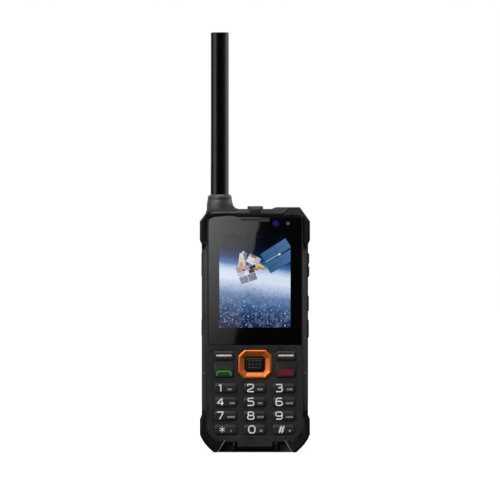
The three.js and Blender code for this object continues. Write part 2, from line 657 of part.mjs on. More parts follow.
function lowerCorner(side) {
	const shape = new THREE.Shape();
	const { foot, bend, shoulder, waist, top } = LOWER_BLOCK;
	shape.moveTo(side * BLOCK_INNER, 0);
	shape.lineTo(side * foot, 0);
	shape.quadraticCurveTo(side * bend[0], bend[1], side * BUMPER_HALF, LOWER_BLOCK.side);
	shape.lineTo(side * BUMPER_HALF, shoulder);
	shape.lineTo(side * WAIST_HALF, waist);
	shape.lineTo(side * WAIST_HALF, top);
	shape.lineTo(side * BLOCK_INNER, top);
	shape.closePath();
	return shape;
}

// Block of an upper corner, from its top edge down the outside to the waist.
function upperCorner(side, topEnd, top) {
	const { bottom, waist, shoulder } = UPPER_BLOCK;
	const shape = new THREE.Shape();
	shape.moveTo(side * BLOCK_INNER, top);
	shape.lineTo(side * topEnd, top);
	shape.lineTo(side * BUMPER_HALF, UPPER_BLOCK.side);
	shape.lineTo(side * BUMPER_HALF, shoulder);
	shape.lineTo(side * WAIST_HALF, waist);
	shape.lineTo(side * WAIST_HALF, bottom);
	shape.lineTo(side * BLOCK_INNER, bottom);
	shape.closePath();
	return shape;
}

// ---------------------------------------------------------------- display side
function coverLens() {
	const plate = slab(lensShape, LENS_Y, LENS_Y + LENS_THICK, 0.2);
	const slot = slab(grow(earpieceOutline(), FIT), LENS_Y - 1, LEDGE_FRONT_Y);
	const eyes = [SENSOR, CAMERA].map(({ x, z, radius }) =>
		disc(radius + FIT, LENS_Y - 1, LEDGE_FRONT_Y, x, z, EYE_ROUND),
	);
	return cut(plate, slot, ...eyes);
}

function earpieceOutline() {
	const { length, height, corner, z } = EARPIECE;
	return roundedRect(-length / 2, length / 2, z - height / 2, z + height / 2, corner);
}

// A small window in the cover lens, with its barrel behind it.
function eye({ x, z, radius }) {
	const { front, shoulder, back, barrel } = EYE;
	const profile = [[0, front], [radius, front], [radius, shoulder], [barrel, shoulder + 0.1], [barrel, back],
		[0, back]];
	return turnedInDepth(profile, x, z, EYE_ROUND);
}

// ---------------------------------------------------------------- keypad
// Names and places of the twelve number keys, in reading order.
const NUMBER_NAMES = ['1', '2', '3', '4', '5', '6', '7', '8', '9', 'star', '0', 'hash'];
const numberKeys = NUMBER_NAMES.map((label, i) => ({
	name: `key_${label}`,
	size: NUMBER_KEY,
	finish: 'key_plastic',
	x: KEY_COLUMN * ((i % 3) - 1),
	z: KEY_TOP_ROW_Z - KEY_ROW * Math.floor(i / 3),
}));
const functionKeys = SIDES.flatMap((side) => {
	const end = side < 0 ? 'left' : 'right';
	return [
		{ name: `soft_key_${end}`, size: SOFT_KEY, finish: 'key_plastic', x: side * SOFT_KEY.x, z: SOFT_KEY.z },
		{
			name: side < 0 ? 'call_key' : 'end_key',
			size: CALL_KEY,
			finish: side < 0 ? 'call_green' : 'end_red',
			x: side * CALL_KEY.x,
			z: CALL_KEY.z,
		},
	];
});
const keys = [...numberKeys, ...functionKeys];

function keypadWeb() {
	const plate = slab(roundedRect(-WEB.half, WEB.half, WEB.bottom, WEB.top, WEB.corner), WEB.front, WEB.back);
	const through = (outline) => slab(outline, WEB.front - 1, WEB.back + 1);
	const holes = keys.map(({ size, x, z }) => through(grow(keyOutline(size, x, z), KEY_GAP)));
	const navHole = through(octagon(NAV.width + 0.6, NAV.height + 0.6, NAV.chamfer, NAV.z));
	return cut(plate, ...holes, navHole);
}

// A key cap with its retaining flange and its plunger, around its own middle.
function keyBody(size, front) {
	const { width, height } = size;
	const cap = frontBevelSlab(keyOutline(size, 0, 0), front, KEY_FOOT_Y, 0.4);
	const flange = box(
		-width / 2 - KEY_FLANGE,
		width / 2 + KEY_FLANGE,
		WEB.back + FIT,
		KEY_FOOT_Y,
		-height / 2 - KEY_FLANGE,
		height / 2 + KEY_FLANGE,
	);
	const plunger = disc(1.1, KEY_FOOT_Y - 0.2, DOME_Y - 0.6, 0, 0, SMALL_ROUND);
	return join(cap, flange, plunger);
}

function navRing() {
	const { width, height, chamfer, holeWidth, holeHeight, back, rim, dishFloor, slopeWidth } = NAV;
	const block = frontBevelSlab(octagon(width, height, chamfer, 0), -HALF_DEPTH, back, 0.6);
	const dishOutline = octagon(width - 2 * rim, height - 2 * rim, chamfer - 0.9, 0);
	const dish = slab(dishOutline, -HALF_DEPTH - 3, dishFloor, slopeWidth, 1, dishFloor + HALF_DEPTH - 0.1);
	const holeOutline = roundedRect(-holeWidth / 2, holeWidth / 2, -holeHeight / 2, holeHeight / 2, 1);
	return cut(block, dish, slab(holeOutline, -HALF_DEPTH - 1, back + 1));
}

// Plate behind the ring that passes its tilt on to the switches.
function navActuator() {
	const { width, height, chamfer, front, back, holeHalf, holeHalfHeight } = ACTUATOR;
	const hole = roundedRect(-holeHalf, holeHalf, -holeHalfHeight, holeHalfHeight, 1);
	return cut(slab(octagon(width, height, chamfer, 0), front, back), slab(hole, front - 1, back + 1));
}

// ---------------------------------------------------------------- side controls
// Key cap along Z on a side wall, built for the right side around x = 0 at the waist.
function sideCap(length, width, proud, depth) {
	const shape = roundedRect(-length / 2, length / 2, -width / 2, width / 2, width / 2 - 0.3);
	const bevel = Math.min(0.35, proud);
	const geometry = new THREE.ExtrudeGeometry(shape, {
		depth: proud + depth - 2 * bevel,
		bevelEnabled: true,
		bevelSize: bevel,
		bevelOffset: -bevel,
		bevelThickness: bevel,
		bevelSegments: 1,
		curveSegments: ARC_STEPS,
	});
	geometry.rotateY(Math.PI / 2);
	geometry.translate(bevel - depth, 0, 0);
	return geometry;
}

function volumeRocker() {
	const cap = solid(sideCap(VOLUME.top - VOLUME.bottom, SIDE_KEY_WIDTH, VOLUME.proud, SIDE_KEY_DEPTH));
	const { notch, proud } = VOLUME;
	return cut(cap, box(proud / 2, proud + 1, -SIDE_KEY_WIDTH, SIDE_KEY_WIDTH, -notch, notch));
}

function sideKey(key, proud) {
	const cap = solid(sideCap(key.top - key.bottom, SIDE_KEY_WIDTH, proud, SIDE_KEY_DEPTH));
	const stem = new THREE.CylinderGeometry(PLUNGER.radius, PLUNGER.radius, PLUNGER.length, SMALL_ROUND);
	stem.rotateZ(Math.PI / 2);
	stem.translate(0.1 - SIDE_KEY_DEPTH - PLUNGER.length / 2, 0, 0);
	return join(cap, solid(stem));
}

function portCover() {
	const { front, back, bottom, top, thick } = PORT;
	const height = top - bottom;
	const flap = box(0, thick, front - back, 0, -height / 2, height / 2);
	const plug = box(thick - 0.1, thick + PLUG.length, PLUG.front, PLUG.back, -PLUG.half, PLUG.half);
	return join(flap, plug);
}

// ---------------------------------------------------------------- antenna
function antennaPieces() {
	const group = subassembly(ANTENNA.x, ANTENNA.y, 0);
	const { radius, tip, foot, bore, boreTop, tipBevel } = ANTENNA;
	const sleeve = turned([[0, boreTop], [bore, boreTop], [bore, foot], [radius, foot], [radius, tip - tipBevel],
		[radius - tipBevel, tip], [0, tip]]);
	piece('antenna_sleeve', sleeve, 'antenna_plastic', group);
	piece('antenna_core', rod(CORE.radius, CORE.bottom, CORE.top), 'brass', group);
	const stud = [[0, STUD.bottom], [STUD.radius, STUD.bottom], [STUD.radius, STUD.headBottom],
		[STUD.headRadius, STUD.headBottom], [STUD.headRadius, STUD.top], [0, STUD.top]];
	piece('antenna_stud', turned(stud), 'steel', group);
	const { bottom, top, neck, shoulder } = COLLAR;
	const ring = turned([[0, bottom], [COLLAR.radius, bottom], [COLLAR.radius, bottom + 0.6],
		[shoulder, top - 0.5], [neck, top], [0, top]]);
	piece('antenna_collar', cut(ring, rod(radius + FIT, bottom - 1, top + 1)), 'antenna_plastic', group);
}

// ---------------------------------------------------------------- torch
// Nose of the torch that fills the notch of the front rim, its front edge sloping back.
function torchNose() {
	const { half, bottom, front, slope } = TORCH_NOSE;
	const y = front - TORCH.y;
	const top = TORCH.top - 0.3;
	const root = 1 - TORCH.radius;
	const section = [[y, bottom], [root, bottom], [root, top], [y + slope, top], [y, top - slope]];
	return prismAlongX(section, -half, half);
}

function torchPieces() {
	const group = subassembly(TORCH.x, TORCH.y, 0);
	const { radius, bore, top, bottom } = TORCH;
	const rim = 0.4;
	const ring = turned([[0, bottom], [radius, bottom], [radius, top - rim], [radius - rim, top], [0, top]]);
	const through = rod(bore, bottom - 1, top + 1);
	piece('torch_bezel', cut(join(ring, torchNose()), through), 'case_plastic', group);
	const seat = bottom + TORCH_LENS.seat;
	const lens = turned([[0, seat], [TORCH_LENS.radius, seat], [TORCH_LENS.radius, top - TORCH_LENS.rim],
		[TORCH_LENS.crown, top - TORCH_LENS.edge], [0, top - TORCH_LENS.top]]);
	piece('torch_lens', lens, 'clear_lens', group);
}

// ---------------------------------------------------------------- back side
function batteryDoor() {
	const { half, bottom, top, corner, front, rim } = DOOR;
	const plate = backBevelSlab(roundedRect(-half, half, bottom, top, corner), front, HALF_DEPTH, rim);
	const seatFloor = HALF_DEPTH - DOOR_SCREW.sink - DOOR_SCREW.head - 0.05;
	const seats = SIDES.flatMap((side) => [
		disc(DOOR_SCREW.radius + 0.15, seatFloor, HALF_DEPTH + 1, side * DOOR_SCREW.x, DOOR_SCREW.z),
		disc(DOOR_SCREW.shank + 0.2, front - 1, HALF_DEPTH, side * DOOR_SCREW.x, DOOR_SCREW.z, BORE_ROUND),
	]);
	const { first, pitch, count, height, depth } = GROOVES;
	const grooves = Array.from({ length: count }, (_, i) => {
		const z = first + pitch * i;
		const outline = roundedRect(-GROOVES.half, GROOVES.half, z - height / 2, z + height / 2, height / 2 - 0.1);
		return slab(outline, HALF_DEPTH - depth, HALF_DEPTH + 1);
	});
	return cut(plate, ...seats, ...grooves);
}

// Round-headed screw along Y with a coin slot, around its own axis, sunk below the surface at y = back.
function screw({ radius, shank, sink, head, length, slot }, back) {
	const top = back - sink;
	const seat = top - head;
	const end = back - length;
	const profile = [[0, end], [shank, end], [shank, seat], [radius, seat], [radius, top], [0, top]];
	const body = turnedInDepth(profile, 0, 0, EYE_ROUND);
	return cut(body, box(-radius - 1, radius + 1, top - 0.4, top + 1, -slot / 2, slot / 2));
}

function battery() {
	const { half, bottom, top } = BAY;
	const { gap, corner, clearance, edge } = BATTERY;
	const outline = roundedRect(gap - half, half - gap, bottom + gap, top - gap, corner);
	return slab(outline, BAY_Y + clearance, REAR_Y - clearance, edge);
}

function doorSeal() {
	const { outer, inner, bottom, top, corner, depth } = SEAL;
	const wall = outer - inner;
	return cut(
		slab(roundedRect(-outer, outer, bottom, top, corner), REAR_Y - depth, REAR_Y),
		slab(roundedRect(-inner, inner, bottom + wall, top - wall, corner - wall), REAR_Y - 2, REAR_Y + 1),
	);
}

function rearCamera() {
	const { x, z, radius, front, barrel, shoulder, rim, back } = REAR_CAMERA;
	const profile = [[0, front], [barrel, front], [barrel, shoulder], [radius, shoulder], [radius, back - rim],
		[radius - rim, back], [0, back]];
	return turnedInDepth(profile, x, z);
}

// ---------------------------------------------------------------- boards and parts inside
// Printed board with the tall parts that stand on it, each from x0 to x1 and z0 to z1.
function mainBoard() {
	const { half, bottom, top, corner, y, thick } = BOARD;
	const board = slab(roundedRect(-half, half, bottom, top, corner), y, y + thick);
	const back = y + thick;
	const parts = BOARD_PARTS.map(({ x0, x1, z0, z1, height }) =>
		box(x0, x1, back - FIT, back + height, z0, z1),
	);
	return join(board, ...parts);
}

function shieldCan() {
	const { x0, x1, z0, z1, height } = SHIELD_CAN;
	const foot = BOARD.y + BOARD.thick + FIT;
	return box(x0, x1, foot, foot + height, z0, z1);
}

// ---------------------------------------------------------------- put together
piece('front_housing', frontHousing(), 'case_plastic');
piece('rear_housing', rearHousing(), 'case_plastic');
piece('bumper_top_left', bumper(upperCorner(-1, UPPER_BLOCK_TOP.left, BOSS_SHOULDER)), 'bumper_rubber');
const rightCorner = bumper(upperCorner(1, UPPER_BLOCK_TOP.right, SHOULDER_TOP));
piece('bumper_top_right', cut(rightCorner, topWedge(BUMPER_SLOPE, -HALF_DEPTH)), 'bumper_rubber');
piece('bumper_bottom_left', bumper(lowerCorner(-1)), 'bumper_rubber');
piece('bumper_bottom_right', bumper(lowerCorner(1)), 'bumper_rubber');

piece('cover_lens', coverLens(), 'lens_glass');
piece('display_module', centredBlock(DISPLAY), 'screen');
piece('earpiece_mesh', slab(earpieceOutline(), EARPIECE.front, EARPIECE.back), 'steel');
piece('earpiece_receiver', centredBlock(RECEIVER), 'steel');
piece('sensor_window', eye(SENSOR), 'violet_window');
piece('front_camera', eye(CAMERA), 'camera_glass');

piece('keypad_web', keypadWeb(), 'key_plastic');
piece('dome_sheet', centredBlock(DOMES), 'steel');
for (const { name, size, finish, x, z } of keys) {
	piece(name, keyBody(size, KEY_FRONT_Y), finish, phone, [x, 0, z]);
}
const nav = subassembly(0, 0, NAV.z);
piece('nav_actuator', navActuator(), 'key_plastic', nav);
piece('nav_ring', navRing(), 'nav_orange', nav);
piece('ok_key', keyBody(OK_KEY, OK_KEY.front), 'key_plastic', nav);

const rightSide = subassembly(WAIST_HALF, SIDE_Y, 0);
piece('volume_rocker', volumeRocker(), 'key_plastic', rightSide, [0, 0, middle(VOLUME)]);
for (const [label, key] of Object.entries(RIGHT_KEYS)) {
	piece(`side_key_${label}`, sideKey(key, SIDE_KEY_PROUD), 'key_plastic', rightSide, [0, 0, middle(key)]);
}
const leftSide = subassembly(-WAIST_HALF, SIDE_Y, 0);
leftSide.rotation.z = Math.PI;
piece('sos_key', sideKey(SOS_KEY, SOS_KEY.proud), 'nav_orange', leftSide, [0, 0, middle(SOS_KEY)]);
piece('port_cover', portCover(), 'bumper_rubber', phone, [-WAIST_HALF - PORT.proud, PORT.back, middle(PORT)]);
const { outer: portOuter, inner: portInner, front: portFront, back: portBack } = USB_PORT;
const usbPort = box(portOuter, portInner, portFront, portBack, USB_PORT.bottom, USB_PORT.top);
piece('usb_port', usbPort, 'steel');

antennaPieces();
torchPieces();

piece('battery', battery(), 'battery_wrap');
piece('battery_door', batteryDoor(), 'case_plastic');
piece('door_seal', doorSeal(), 'seal_rubber');
for (const side of SIDES) {
	const place = [side * DOOR_SCREW.x, 0, DOOR_SCREW.z];
	piece(`door_screw_${side < 0 ? 'left' : 'right'}`, screw(DOOR_SCREW, HALF_DEPTH), 'steel', phone, place);
}
CASE_SCREWS.forEach(([x, z], i) => {
	piece(`case_screw_${i + 1}`, screw(CASE_SCREW, REAR_Y), 'steel', phone, [x, 0, z]);
});
piece('main_board', mainBoard(), 'board_green');
piece('shield_can', shieldCan(), 'steel');
piece('loudspeaker', centredBlock(SPEAKER), 'steel');
piece('rear_camera', rearCamera(), 'camera_glass');
piece('flash_lens', disc(FLASH.radius, FLASH.front, FLASH.back, FLASH.x, FLASH.z, EYE_ROUND), 'clear_lens');

export default phone;
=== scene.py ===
"""Looks for the rugged satellite phone: fine surfaces, keypad legends, procedural materials and a studio."""

import math

import bmesh
import bpy
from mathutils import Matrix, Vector


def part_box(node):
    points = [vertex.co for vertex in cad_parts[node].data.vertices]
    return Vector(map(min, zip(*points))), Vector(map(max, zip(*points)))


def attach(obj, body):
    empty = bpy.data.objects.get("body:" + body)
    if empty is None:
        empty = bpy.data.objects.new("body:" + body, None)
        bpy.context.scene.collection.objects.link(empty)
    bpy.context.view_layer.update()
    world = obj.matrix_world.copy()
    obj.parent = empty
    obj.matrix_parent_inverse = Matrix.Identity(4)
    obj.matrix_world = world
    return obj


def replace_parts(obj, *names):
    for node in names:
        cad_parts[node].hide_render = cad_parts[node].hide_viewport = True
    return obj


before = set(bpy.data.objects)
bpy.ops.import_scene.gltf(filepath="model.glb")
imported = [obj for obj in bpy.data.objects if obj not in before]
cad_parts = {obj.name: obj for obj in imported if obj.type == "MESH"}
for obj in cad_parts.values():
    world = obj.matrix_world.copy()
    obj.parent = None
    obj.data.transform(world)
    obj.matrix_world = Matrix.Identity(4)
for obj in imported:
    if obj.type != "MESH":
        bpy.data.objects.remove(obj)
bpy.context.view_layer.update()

MM = 0.001


# ---- sizes read from the frame
def span(node):
    """Lowest and highest corner of a CAD node, in millimetres."""
    low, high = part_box(node)
    return low / MM, high / MM


KEY_FACE_Y = span("key_1")[0].y
WEB_Y = span("keypad_web")[0].y
CASE_FACE_Y = span("front_housing")[0].y
SIDES = ((-1, "left"), (1, "right"))


# ---- shader graphs
class Nodes:
    """Node tree of a light, a world or a material, built with short calls."""

    def __init__(self, owner):
        owner.use_nodes = True
        self.tree = owner.node_tree
        self.tree.nodes.clear()

    def add(self, kind, inputs=None, **settings):
        node = self.tree.nodes.new(kind)
        for key, value in settings.items():
            setattr(node, key, value)
        for key, value in (inputs or {}).items():
            if isinstance(value, bpy.types.NodeSocket):
                self.tree.links.new(value, node.inputs[key])
            else:
                node.inputs[key].default_value = value
        return node

    def math(self, operation, a, b=0.0, clamp=False):
        return self.add("ShaderNodeMath", {0: a, 1: b}, operation=operation, use_clamp=clamp).outputs[0]

    def plus(self, a, b, clamp=False):
        return self.math("ADD", a, b, clamp)

    def minus(self, a, b):
        return self.math("SUBTRACT", a, b)

    def times(self, a, b, clamp=False):
        return self.math("MULTIPLY", a, b, clamp)

    def remap(self, value, low, high, to_low=0.0, to_high=1.0):
        return self.add("ShaderNodeMapRange", {0: value, 1: low, 2: high, 3: to_low, 4: to_high}).outputs[0]

    def blend_shaders(self, factor, a, b):
        return self.add("ShaderNodeMixShader", {0: factor, 1: a, 2: b}).outputs[0]


class Graph(Nodes):
    """Node tree of a new material. Lengths inside it are in millimetres."""

    def __init__(self, name):
        self.material = bpy.data.materials.new(name)
        super().__init__(self.material)
        place = self.add("ShaderNodeTexCoord").outputs["Object"]
        scaled = self.add("ShaderNodeVectorMath", {0: place, "Scale": 1 / MM}, operation="SCALE")
        self.position = scaled.outputs[0]

    def axes(self):
        node = self.add("ShaderNodeSeparateXYZ", {0: self.position})
        return node.outputs[0], node.outputs[1], node.outputs[2]

    def mix(self, factor, a, b, blend="MIX"):
        node = self.add("ShaderNodeMix", {0: factor, 6: a, 7: b}, data_type="RGBA", blend_type=blend)
        return node.outputs[2]

    def noise(self, size, detail=2.0, roughness=0.5, vector=None):
        """Noise between 0 and 1 whose blotches are about size millimetres across."""
        look = {"Scale": 1 / size, "Detail": detail, "Roughness": roughness}
        return self.add("ShaderNodeTexNoise", {"Vector": vector or self.position, **look}).outputs[0]

    def grains(self, size):
        """Distance to the nearest of many scattered points, for moulded spark texture."""
        return self.add("ShaderNodeTexVoronoi", {"Vector": self.position, "Scale": 1 / size}).outputs[0]

    def stretched(self, scale, turn=(0, 0, 0)):
        """The position turned and scaled by its own factor on each axis, for streaks."""
        inputs = {"Vector": self.position, "Rotation": turn, "Scale": scale}
        return self.add("ShaderNodeMapping", inputs).outputs[0]

    def pointiness(self, low, high):
        """0 to 1 as the surface goes from hollow to sharp."""
        return self.remap(self.add("ShaderNodeNewGeometry").outputs["Pointiness"], low, high)

    def ramp(self, factor, stops):
        node = self.add("ShaderNodeValToRGB", {0: factor})
        elements = node.color_ramp.elements
        while len(elements) < len(stops):
            elements.new(0.5)
        for element, (place, color) in zip(elements, stops):
            element.position = place
            element.color = tone(color)
        return node.outputs[0]

    def bump(self, height, strength, distance_mm):
        inputs = {"Strength": strength, "Distance": distance_mm * MM, "Height": height}
        return self.add("ShaderNodeBump", inputs).outputs[0]

    def principled(self, inputs):
        return self.add("ShaderNodeBsdfPrincipled", inputs).outputs[0]

    def finish(self, surface):
        self.add("ShaderNodeOutputMaterial", {"Surface": surface})
        return self.material


def gray(value):
    return (value, value, value, 1)


def tone(color, gain=1.0, lift=0.0):
    """A colour made lighter or darker, as red, green, blue and alpha."""
    return (*[min(1.0, c * gain + lift) for c in color[:3]], 1)


def shade(red, green, blue):
    """Linear colour of a display tone whose parts run from 0 to 255."""
    shares = [part / 255 for part in (red, green, blue)]
    return (*[((s + 0.055) / 1.055) ** 2.4 if s > 0.04 else s / 12.92 for s in shares], 1)


# ---- materials
def moulded(name, color, roughness, grain=0.35, bump=0.25, wear=0.3, specular=0.5):
    """Moulded plastic or rubber: spark grain, faint mottling, finger smudges and rubbed edges."""
    g = Graph(name)
    mottled = g.mix(g.remap(g.noise(7, 4), 0.35, 0.7), tone(color), tone(color, 1.5, 0.004))
    edge = g.pointiness(0.53, 0.62)
    rubbed = g.times(g.times(edge, g.noise(2.5, 5)), wear, clamp=True)
    worn = g.mix(rubbed, mottled, tone(color, 2.2, 0.05))
    smudge = g.remap(g.noise(11, 3, 0.6), 0.3, 0.75, -0.06, 0.08)
    fine = g.remap(g.noise(0.8, 2), 0.3, 0.7, -0.03, 0.03)
    rough = g.plus(g.plus(smudge, fine), roughness, clamp=True)
    spark = g.plus(g.grains(grain), g.times(g.noise(grain * 0.6, 2), 0.8))
    shader = g.principled({
        "Base Color": worn,
        "Roughness": rough,
        "Specular IOR Level": specular,
        "Normal": g.bump(spark, bump, 0.03),
    })
    return g.finish(shader)


def lacquer(name, color):
    """Glossy metallic lacquer with fine flakes, tiny scratches and painted shade in its creases."""
    g = Graph(name)
    # Painted shade: the colour turns to this darker tone in hollows and creases.
    deep = (color[0] * 0.6, color[1] * 0.45, color[2] * 0.3, 1)
    crease_shaded = g.mix(g.pointiness(0.44, 0.52), deep, tone(color))
    flakes = g.remap(g.noise(0.09, 1), 0.45, 0.7)
    sparkled = g.mix(g.times(flakes, 0.22), crease_shaded, (1.0, 0.55, 0.2, 1))
    along = g.stretched((0.3, 6, 6), turn=(0.3, 0.2, 0.9))
    scratch = g.remap(g.noise(0.8, 3, vector=along), 0.55, 0.75)
    rough = g.plus(g.times(scratch, 0.16), 0.26)
    shader = g.principled({
        "Base Color": sparkled,
        "Metallic": 0.4,
        "Roughness": rough,
        "Coat Weight": 0.35,
        "Coat Roughness": 0.2,
        "Normal": g.bump(g.noise(0.5, 3), 0.08, 0.02),
    })
    return g.finish(shader)


def metal(name, color, roughness, streak=(1, 1, 1)):
    """Bare metal with fine machining streaks and dull patches."""
    g = Graph(name)
    lines = g.noise(0.25, 4, vector=g.stretched(streak))
    tint = g.mix(g.remap(g.noise(4, 3), 0.35, 0.7), tone(color, 0.75), tone(color))
    rough = g.plus(g.times(lines, 0.2), roughness - 0.08, clamp=True)
    shader = g.principled({
        "Base Color": tint,
        "Metallic": 1.0,
        "Roughness": rough,
        "Normal": g.bump(lines, 0.15, 0.02),
    })
    return g.finish(shader)


def ink_with_painted_glow(name, color, strength):
    """Key mark ink with a faint painted glow that brightens it."""
    g = Graph(name)
    tint = g.mix(g.remap(g.noise(0.9, 3), 0.3, 0.7), tone(color, 0.6), tone(color))
    shader = g.principled({
        "Base Color": tint,
        "Roughness": g.remap(g.noise(0.7, 2), 0.2, 0.8, 0.3, 0.5),
        # Painted glow: the ink gives off light in its own tint.
        "Emission Color": tint,
        "Emission Strength": strength,
        "Normal": g.bump(g.noise(0.2, 2), 0.1, 0.01),
    })
    return g.finish(shader)


def frosted_lens(name, color):
    """Small glossy lens whose tint varies a little."""
    g = Graph(name)
    tint = g.mix(g.remap(g.noise(1.2, 3), 0.35, 0.65), tone(color, 0.55), tone(color))
    shader = g.principled({
        "Base Color": tint,
        "Roughness": g.remap(g.noise(0.6, 2), 0.2, 0.8, 0.04, 0.12),
        "Coat Weight": 0.5,
        "Normal": g.bump(g.noise(2, 2), 0.02, 0.02),
    })
    return g.finish(shader)


def round_window(name, node, bands, coating=(0.02, 0.03, 0.05), glow=0.0):
    """Round lens or window coloured in bands from its middle to its rim, with a blotchy coating and an
    optional painted glow.
    """
    g = Graph(name)
    low, high = span(node)
    x, _, z = g.axes()
    aside = g.minus(x, (low.x + high.x) / 2)
    above = g.minus(z, (low.z + high.z) / 2)
    reach = g.math("SQRT", g.plus(g.math("POWER", aside, 2), g.math("POWER", above, 2)))
    banded = g.ramp(g.remap(reach, 0, (high.x - low.x) / 2), bands)
    coated = g.mix(g.remap(g.noise(0.6, 3), 0.3, 0.7, 0.0, 0.3), banded, tone(coating))
    shader = g.principled({
        "Base Color": coated,
        "Roughness": g.remap(g.noise(0.5, 2), 0.2, 0.8, 0.05, 0.12),
        "Coat Weight": 0.3,
        # Painted glow, when glow is above 0.
        "Emission Color": coated,
        "Emission Strength": glow,
    })
    return g.finish(shader)


# ---- display picture
# Half width, bottom and top of the lit window, in millimetres.
DISPLAY_HALF = 18.36
DISPLAY_LOW = 64.4
DISPLAY_HIGH = 113.35


def rectangle(g, u, v, centre, size, turn):
    """Mask of a turned rectangle, and the position along its two sides."""
    c, s = math.cos(turn), math.sin(turn)
    du = g.minus(u, centre[0])
    dv = g.minus(v, centre[1])
    along = g.plus(g.times(du, c), g.times(dv, s))
    across = g.minus(g.times(dv, c), g.times(du, s))
    in_length = g.math("LESS_THAN", g.math("ABSOLUTE", along), size[0] / 2)
    in_width = g.math("LESS_THAN", g.math("ABSOLUTE", across), size[1] / 2)
    return g.times(in_length, in_width), along, across


def display_window(g):
    """Position from the middle of the lit window, and the mask of that window."""
    x, _, z = g.axes()
    v = g.minus(z, (DISPLAY_LOW + DISPLAY_HIGH) / 2)
    mask = rectangle(g, x, v, (0, 0), (2 * DISPLAY_HALF, DISPLAY_HIGH - DISPLAY_LOW), 0)[0]
    return x, v, mask


def cell_lines(g, along, across, pitch_along, pitch_across, width):
    """1 on the thin lines between the cells of a panel."""
    lines = []
    for value, pitch in ((along, pitch_along), (across, pitch_across)):
        share = g.math("FRACT", g.math("DIVIDE", g.plus(value, 100 * pitch), pitch))
        lines.append(g.math("LESS_THAN", share, width / pitch))
    return g.math("MAXIMUM", lines[0], lines[1])


def planet(g, u, v):
    """Black sky over a blue rim, a white haze and a dark sea with scattered clouds."""
    tilt = g.plus(v, g.times(u, 0.13))
    wave = g.times(g.minus(g.noise(7, 4, 0.6), 0.5), 2.4)
    level = g.remap(g.plus(tilt, wave), -26, 26)
    sky = g.ramp(level, [
        (0.02, shade(8, 28, 62)),
        (0.14, shade(26, 54, 100)),
        (0.24, shade(62, 94, 142)),
        (0.34, shade(108, 136, 180)),
        (0.42, shade(184, 200, 230)),
        (0.49, shade(222, 232, 248)),
        (0.56, shade(220, 231, 248)),
        (0.605, shade(176, 200, 232)),
        (0.645, shade(74, 116, 172)),
        (0.7, shade(24, 56, 108)),
        (0.77, shade(5, 14, 42)),
        (0.88, shade(0, 2, 12)),
    ])
    sea = g.remap(level, 0.44, 0.3)
    speck = g.remap(g.noise(1.0, 2, 0.5), 0.6, 0.68)
    bank = g.remap(g.noise(3.2, 4, 0.65), 0.5, 0.72, 0.0, 0.45)
    clouds = g.times(g.math("MAXIMUM", speck, bank), sea, clamp=True)
    cloudy = g.mix(g.times(clouds, 0.85), sky, shade(186, 208, 232))
    hollow = g.times(g.remap(g.noise(1.6, 3, 0.6), 0.5, 0.7), g.remap(level, 0.5, 0.36))
    return g.mix(g.times(hollow, 0.45), cloudy, shade(16, 44, 92))


def spacecraft(g, picture, u, v):
    """A plain box satellite with flat panels, drawn over the picture."""
    # Each panel or block: its centre, its length and width in millimetres, and its turn in radians.
    wings = [((10.7, 15.1), (15.4, 5.6), 0.57), ((13.3, 9.7), (15.2, 5.6), 0.53)]
    for centre, size, turn in wings:
        mask, along, across = rectangle(g, u, v, centre, size, turn)
        cells = g.mix(g.remap(along, -8, 8), shade(52, 96, 136), shade(78, 116, 166))
        lines = g.times(cell_lines(g, along, across, 7.85, 2.7, 0.3), 0.5)
        picture = g.mix(mask, picture, g.mix(lines, cells, shade(30, 56, 92)))
    boom = rectangle(g, u, v, (9.2, 11.4), (8.6, 0.35), 0.53)[0]
    picture = g.mix(boom, picture, shade(166, 186, 212))
    knuckle = rectangle(g, u, v, (12.6, 13.3), (1.2, 0.8), 0.53)[0]
    picture = g.mix(knuckle, picture, shade(232, 240, 248))
    small, along, across = rectangle(g, u, v, (-3.5, 0.7), (9.0, 4.0), 0.33)
    lines = cell_lines(g, along, g.plus(across, 2.0), 4.5, 4.0, 0.35)
    wash = g.mix(g.noise(1.5, 3), shade(112, 114, 132), shade(150, 154, 172))
    picture = g.mix(small, picture, g.mix(lines, wash, shade(204, 208, 222)))
    blocks = [
        ((-7.0, 3.9), (3.4, 4.4), -0.2, shade(204, 202, 214)),
        ((-6.7, 9.0), (3.6, 9.4), -0.12, shade(226, 216, 200)),
        ((-5.9, 13.4), (2.4, 2.4), 0.79, shade(232, 236, 232)),
        ((-4.7, 11.2), (1.5, 6.2), 0.3, shade(84, 136, 146)),
        ((-3.9, 9.4), (0.9, 5.0), 0.1, shade(60, 72, 84)),
        ((-1.2, 10.3), (5.4, 4.4), -0.55, shade(232, 230, 236)),
        ((-0.2, 11.9), (4.8, 1.3), -0.42, shade(160, 120, 116)),
        ((1.3, 10.0), (2.6, 3.4), -0.5, shade(196, 200, 208)),
        ((-8.1, 5.4), (3.0, 3.0), 0.2, shade(186, 160, 162)),
        ((-7.0, 7.9), (2.0, 2.8), 0.1, shade(214, 162, 112)),
        ((-4.4, 6.2), (2.6, 2.4), 0.3, shade(196, 160, 156)),
        ((1.4, 7.2), (3.0, 3.4), -0.5, shade(222, 196, 160)),
        ((3.0, 7.3), (3.8, 1.0), -0.35, shade(232, 214, 160)),
        ((3.0, 6.3), (3.9, 1.1), -0.35, shade(200, 150, 52)),
        ((-1.3, 6.7), (3.4, 1.6), 0.5, shade(66, 48, 44)),
        ((-1.7, 4.6), (3.0, 1.8), 0.33, shade(78, 72, 84)),
        ((0.6, 5.6), (2.4, 0.9), -0.2, shade(176, 102, 44)),
        ((-5.9, 5.2), (1.2, 1.2), 0.6, shade(150, 78, 84)),
    ]
    foil = g.remap(g.noise(0.7, 4, 0.7), 0.3, 0.7, 0.55, 1.2)
    for centre, size, turn, color in blocks:
        mask = rectangle(g, u, v, centre, size, turn)[0]
        crinkled = g.mix(1.0, color, foil, blend="MULTIPLY")
        picture = g.mix(mask, picture, crinkled)
    return picture


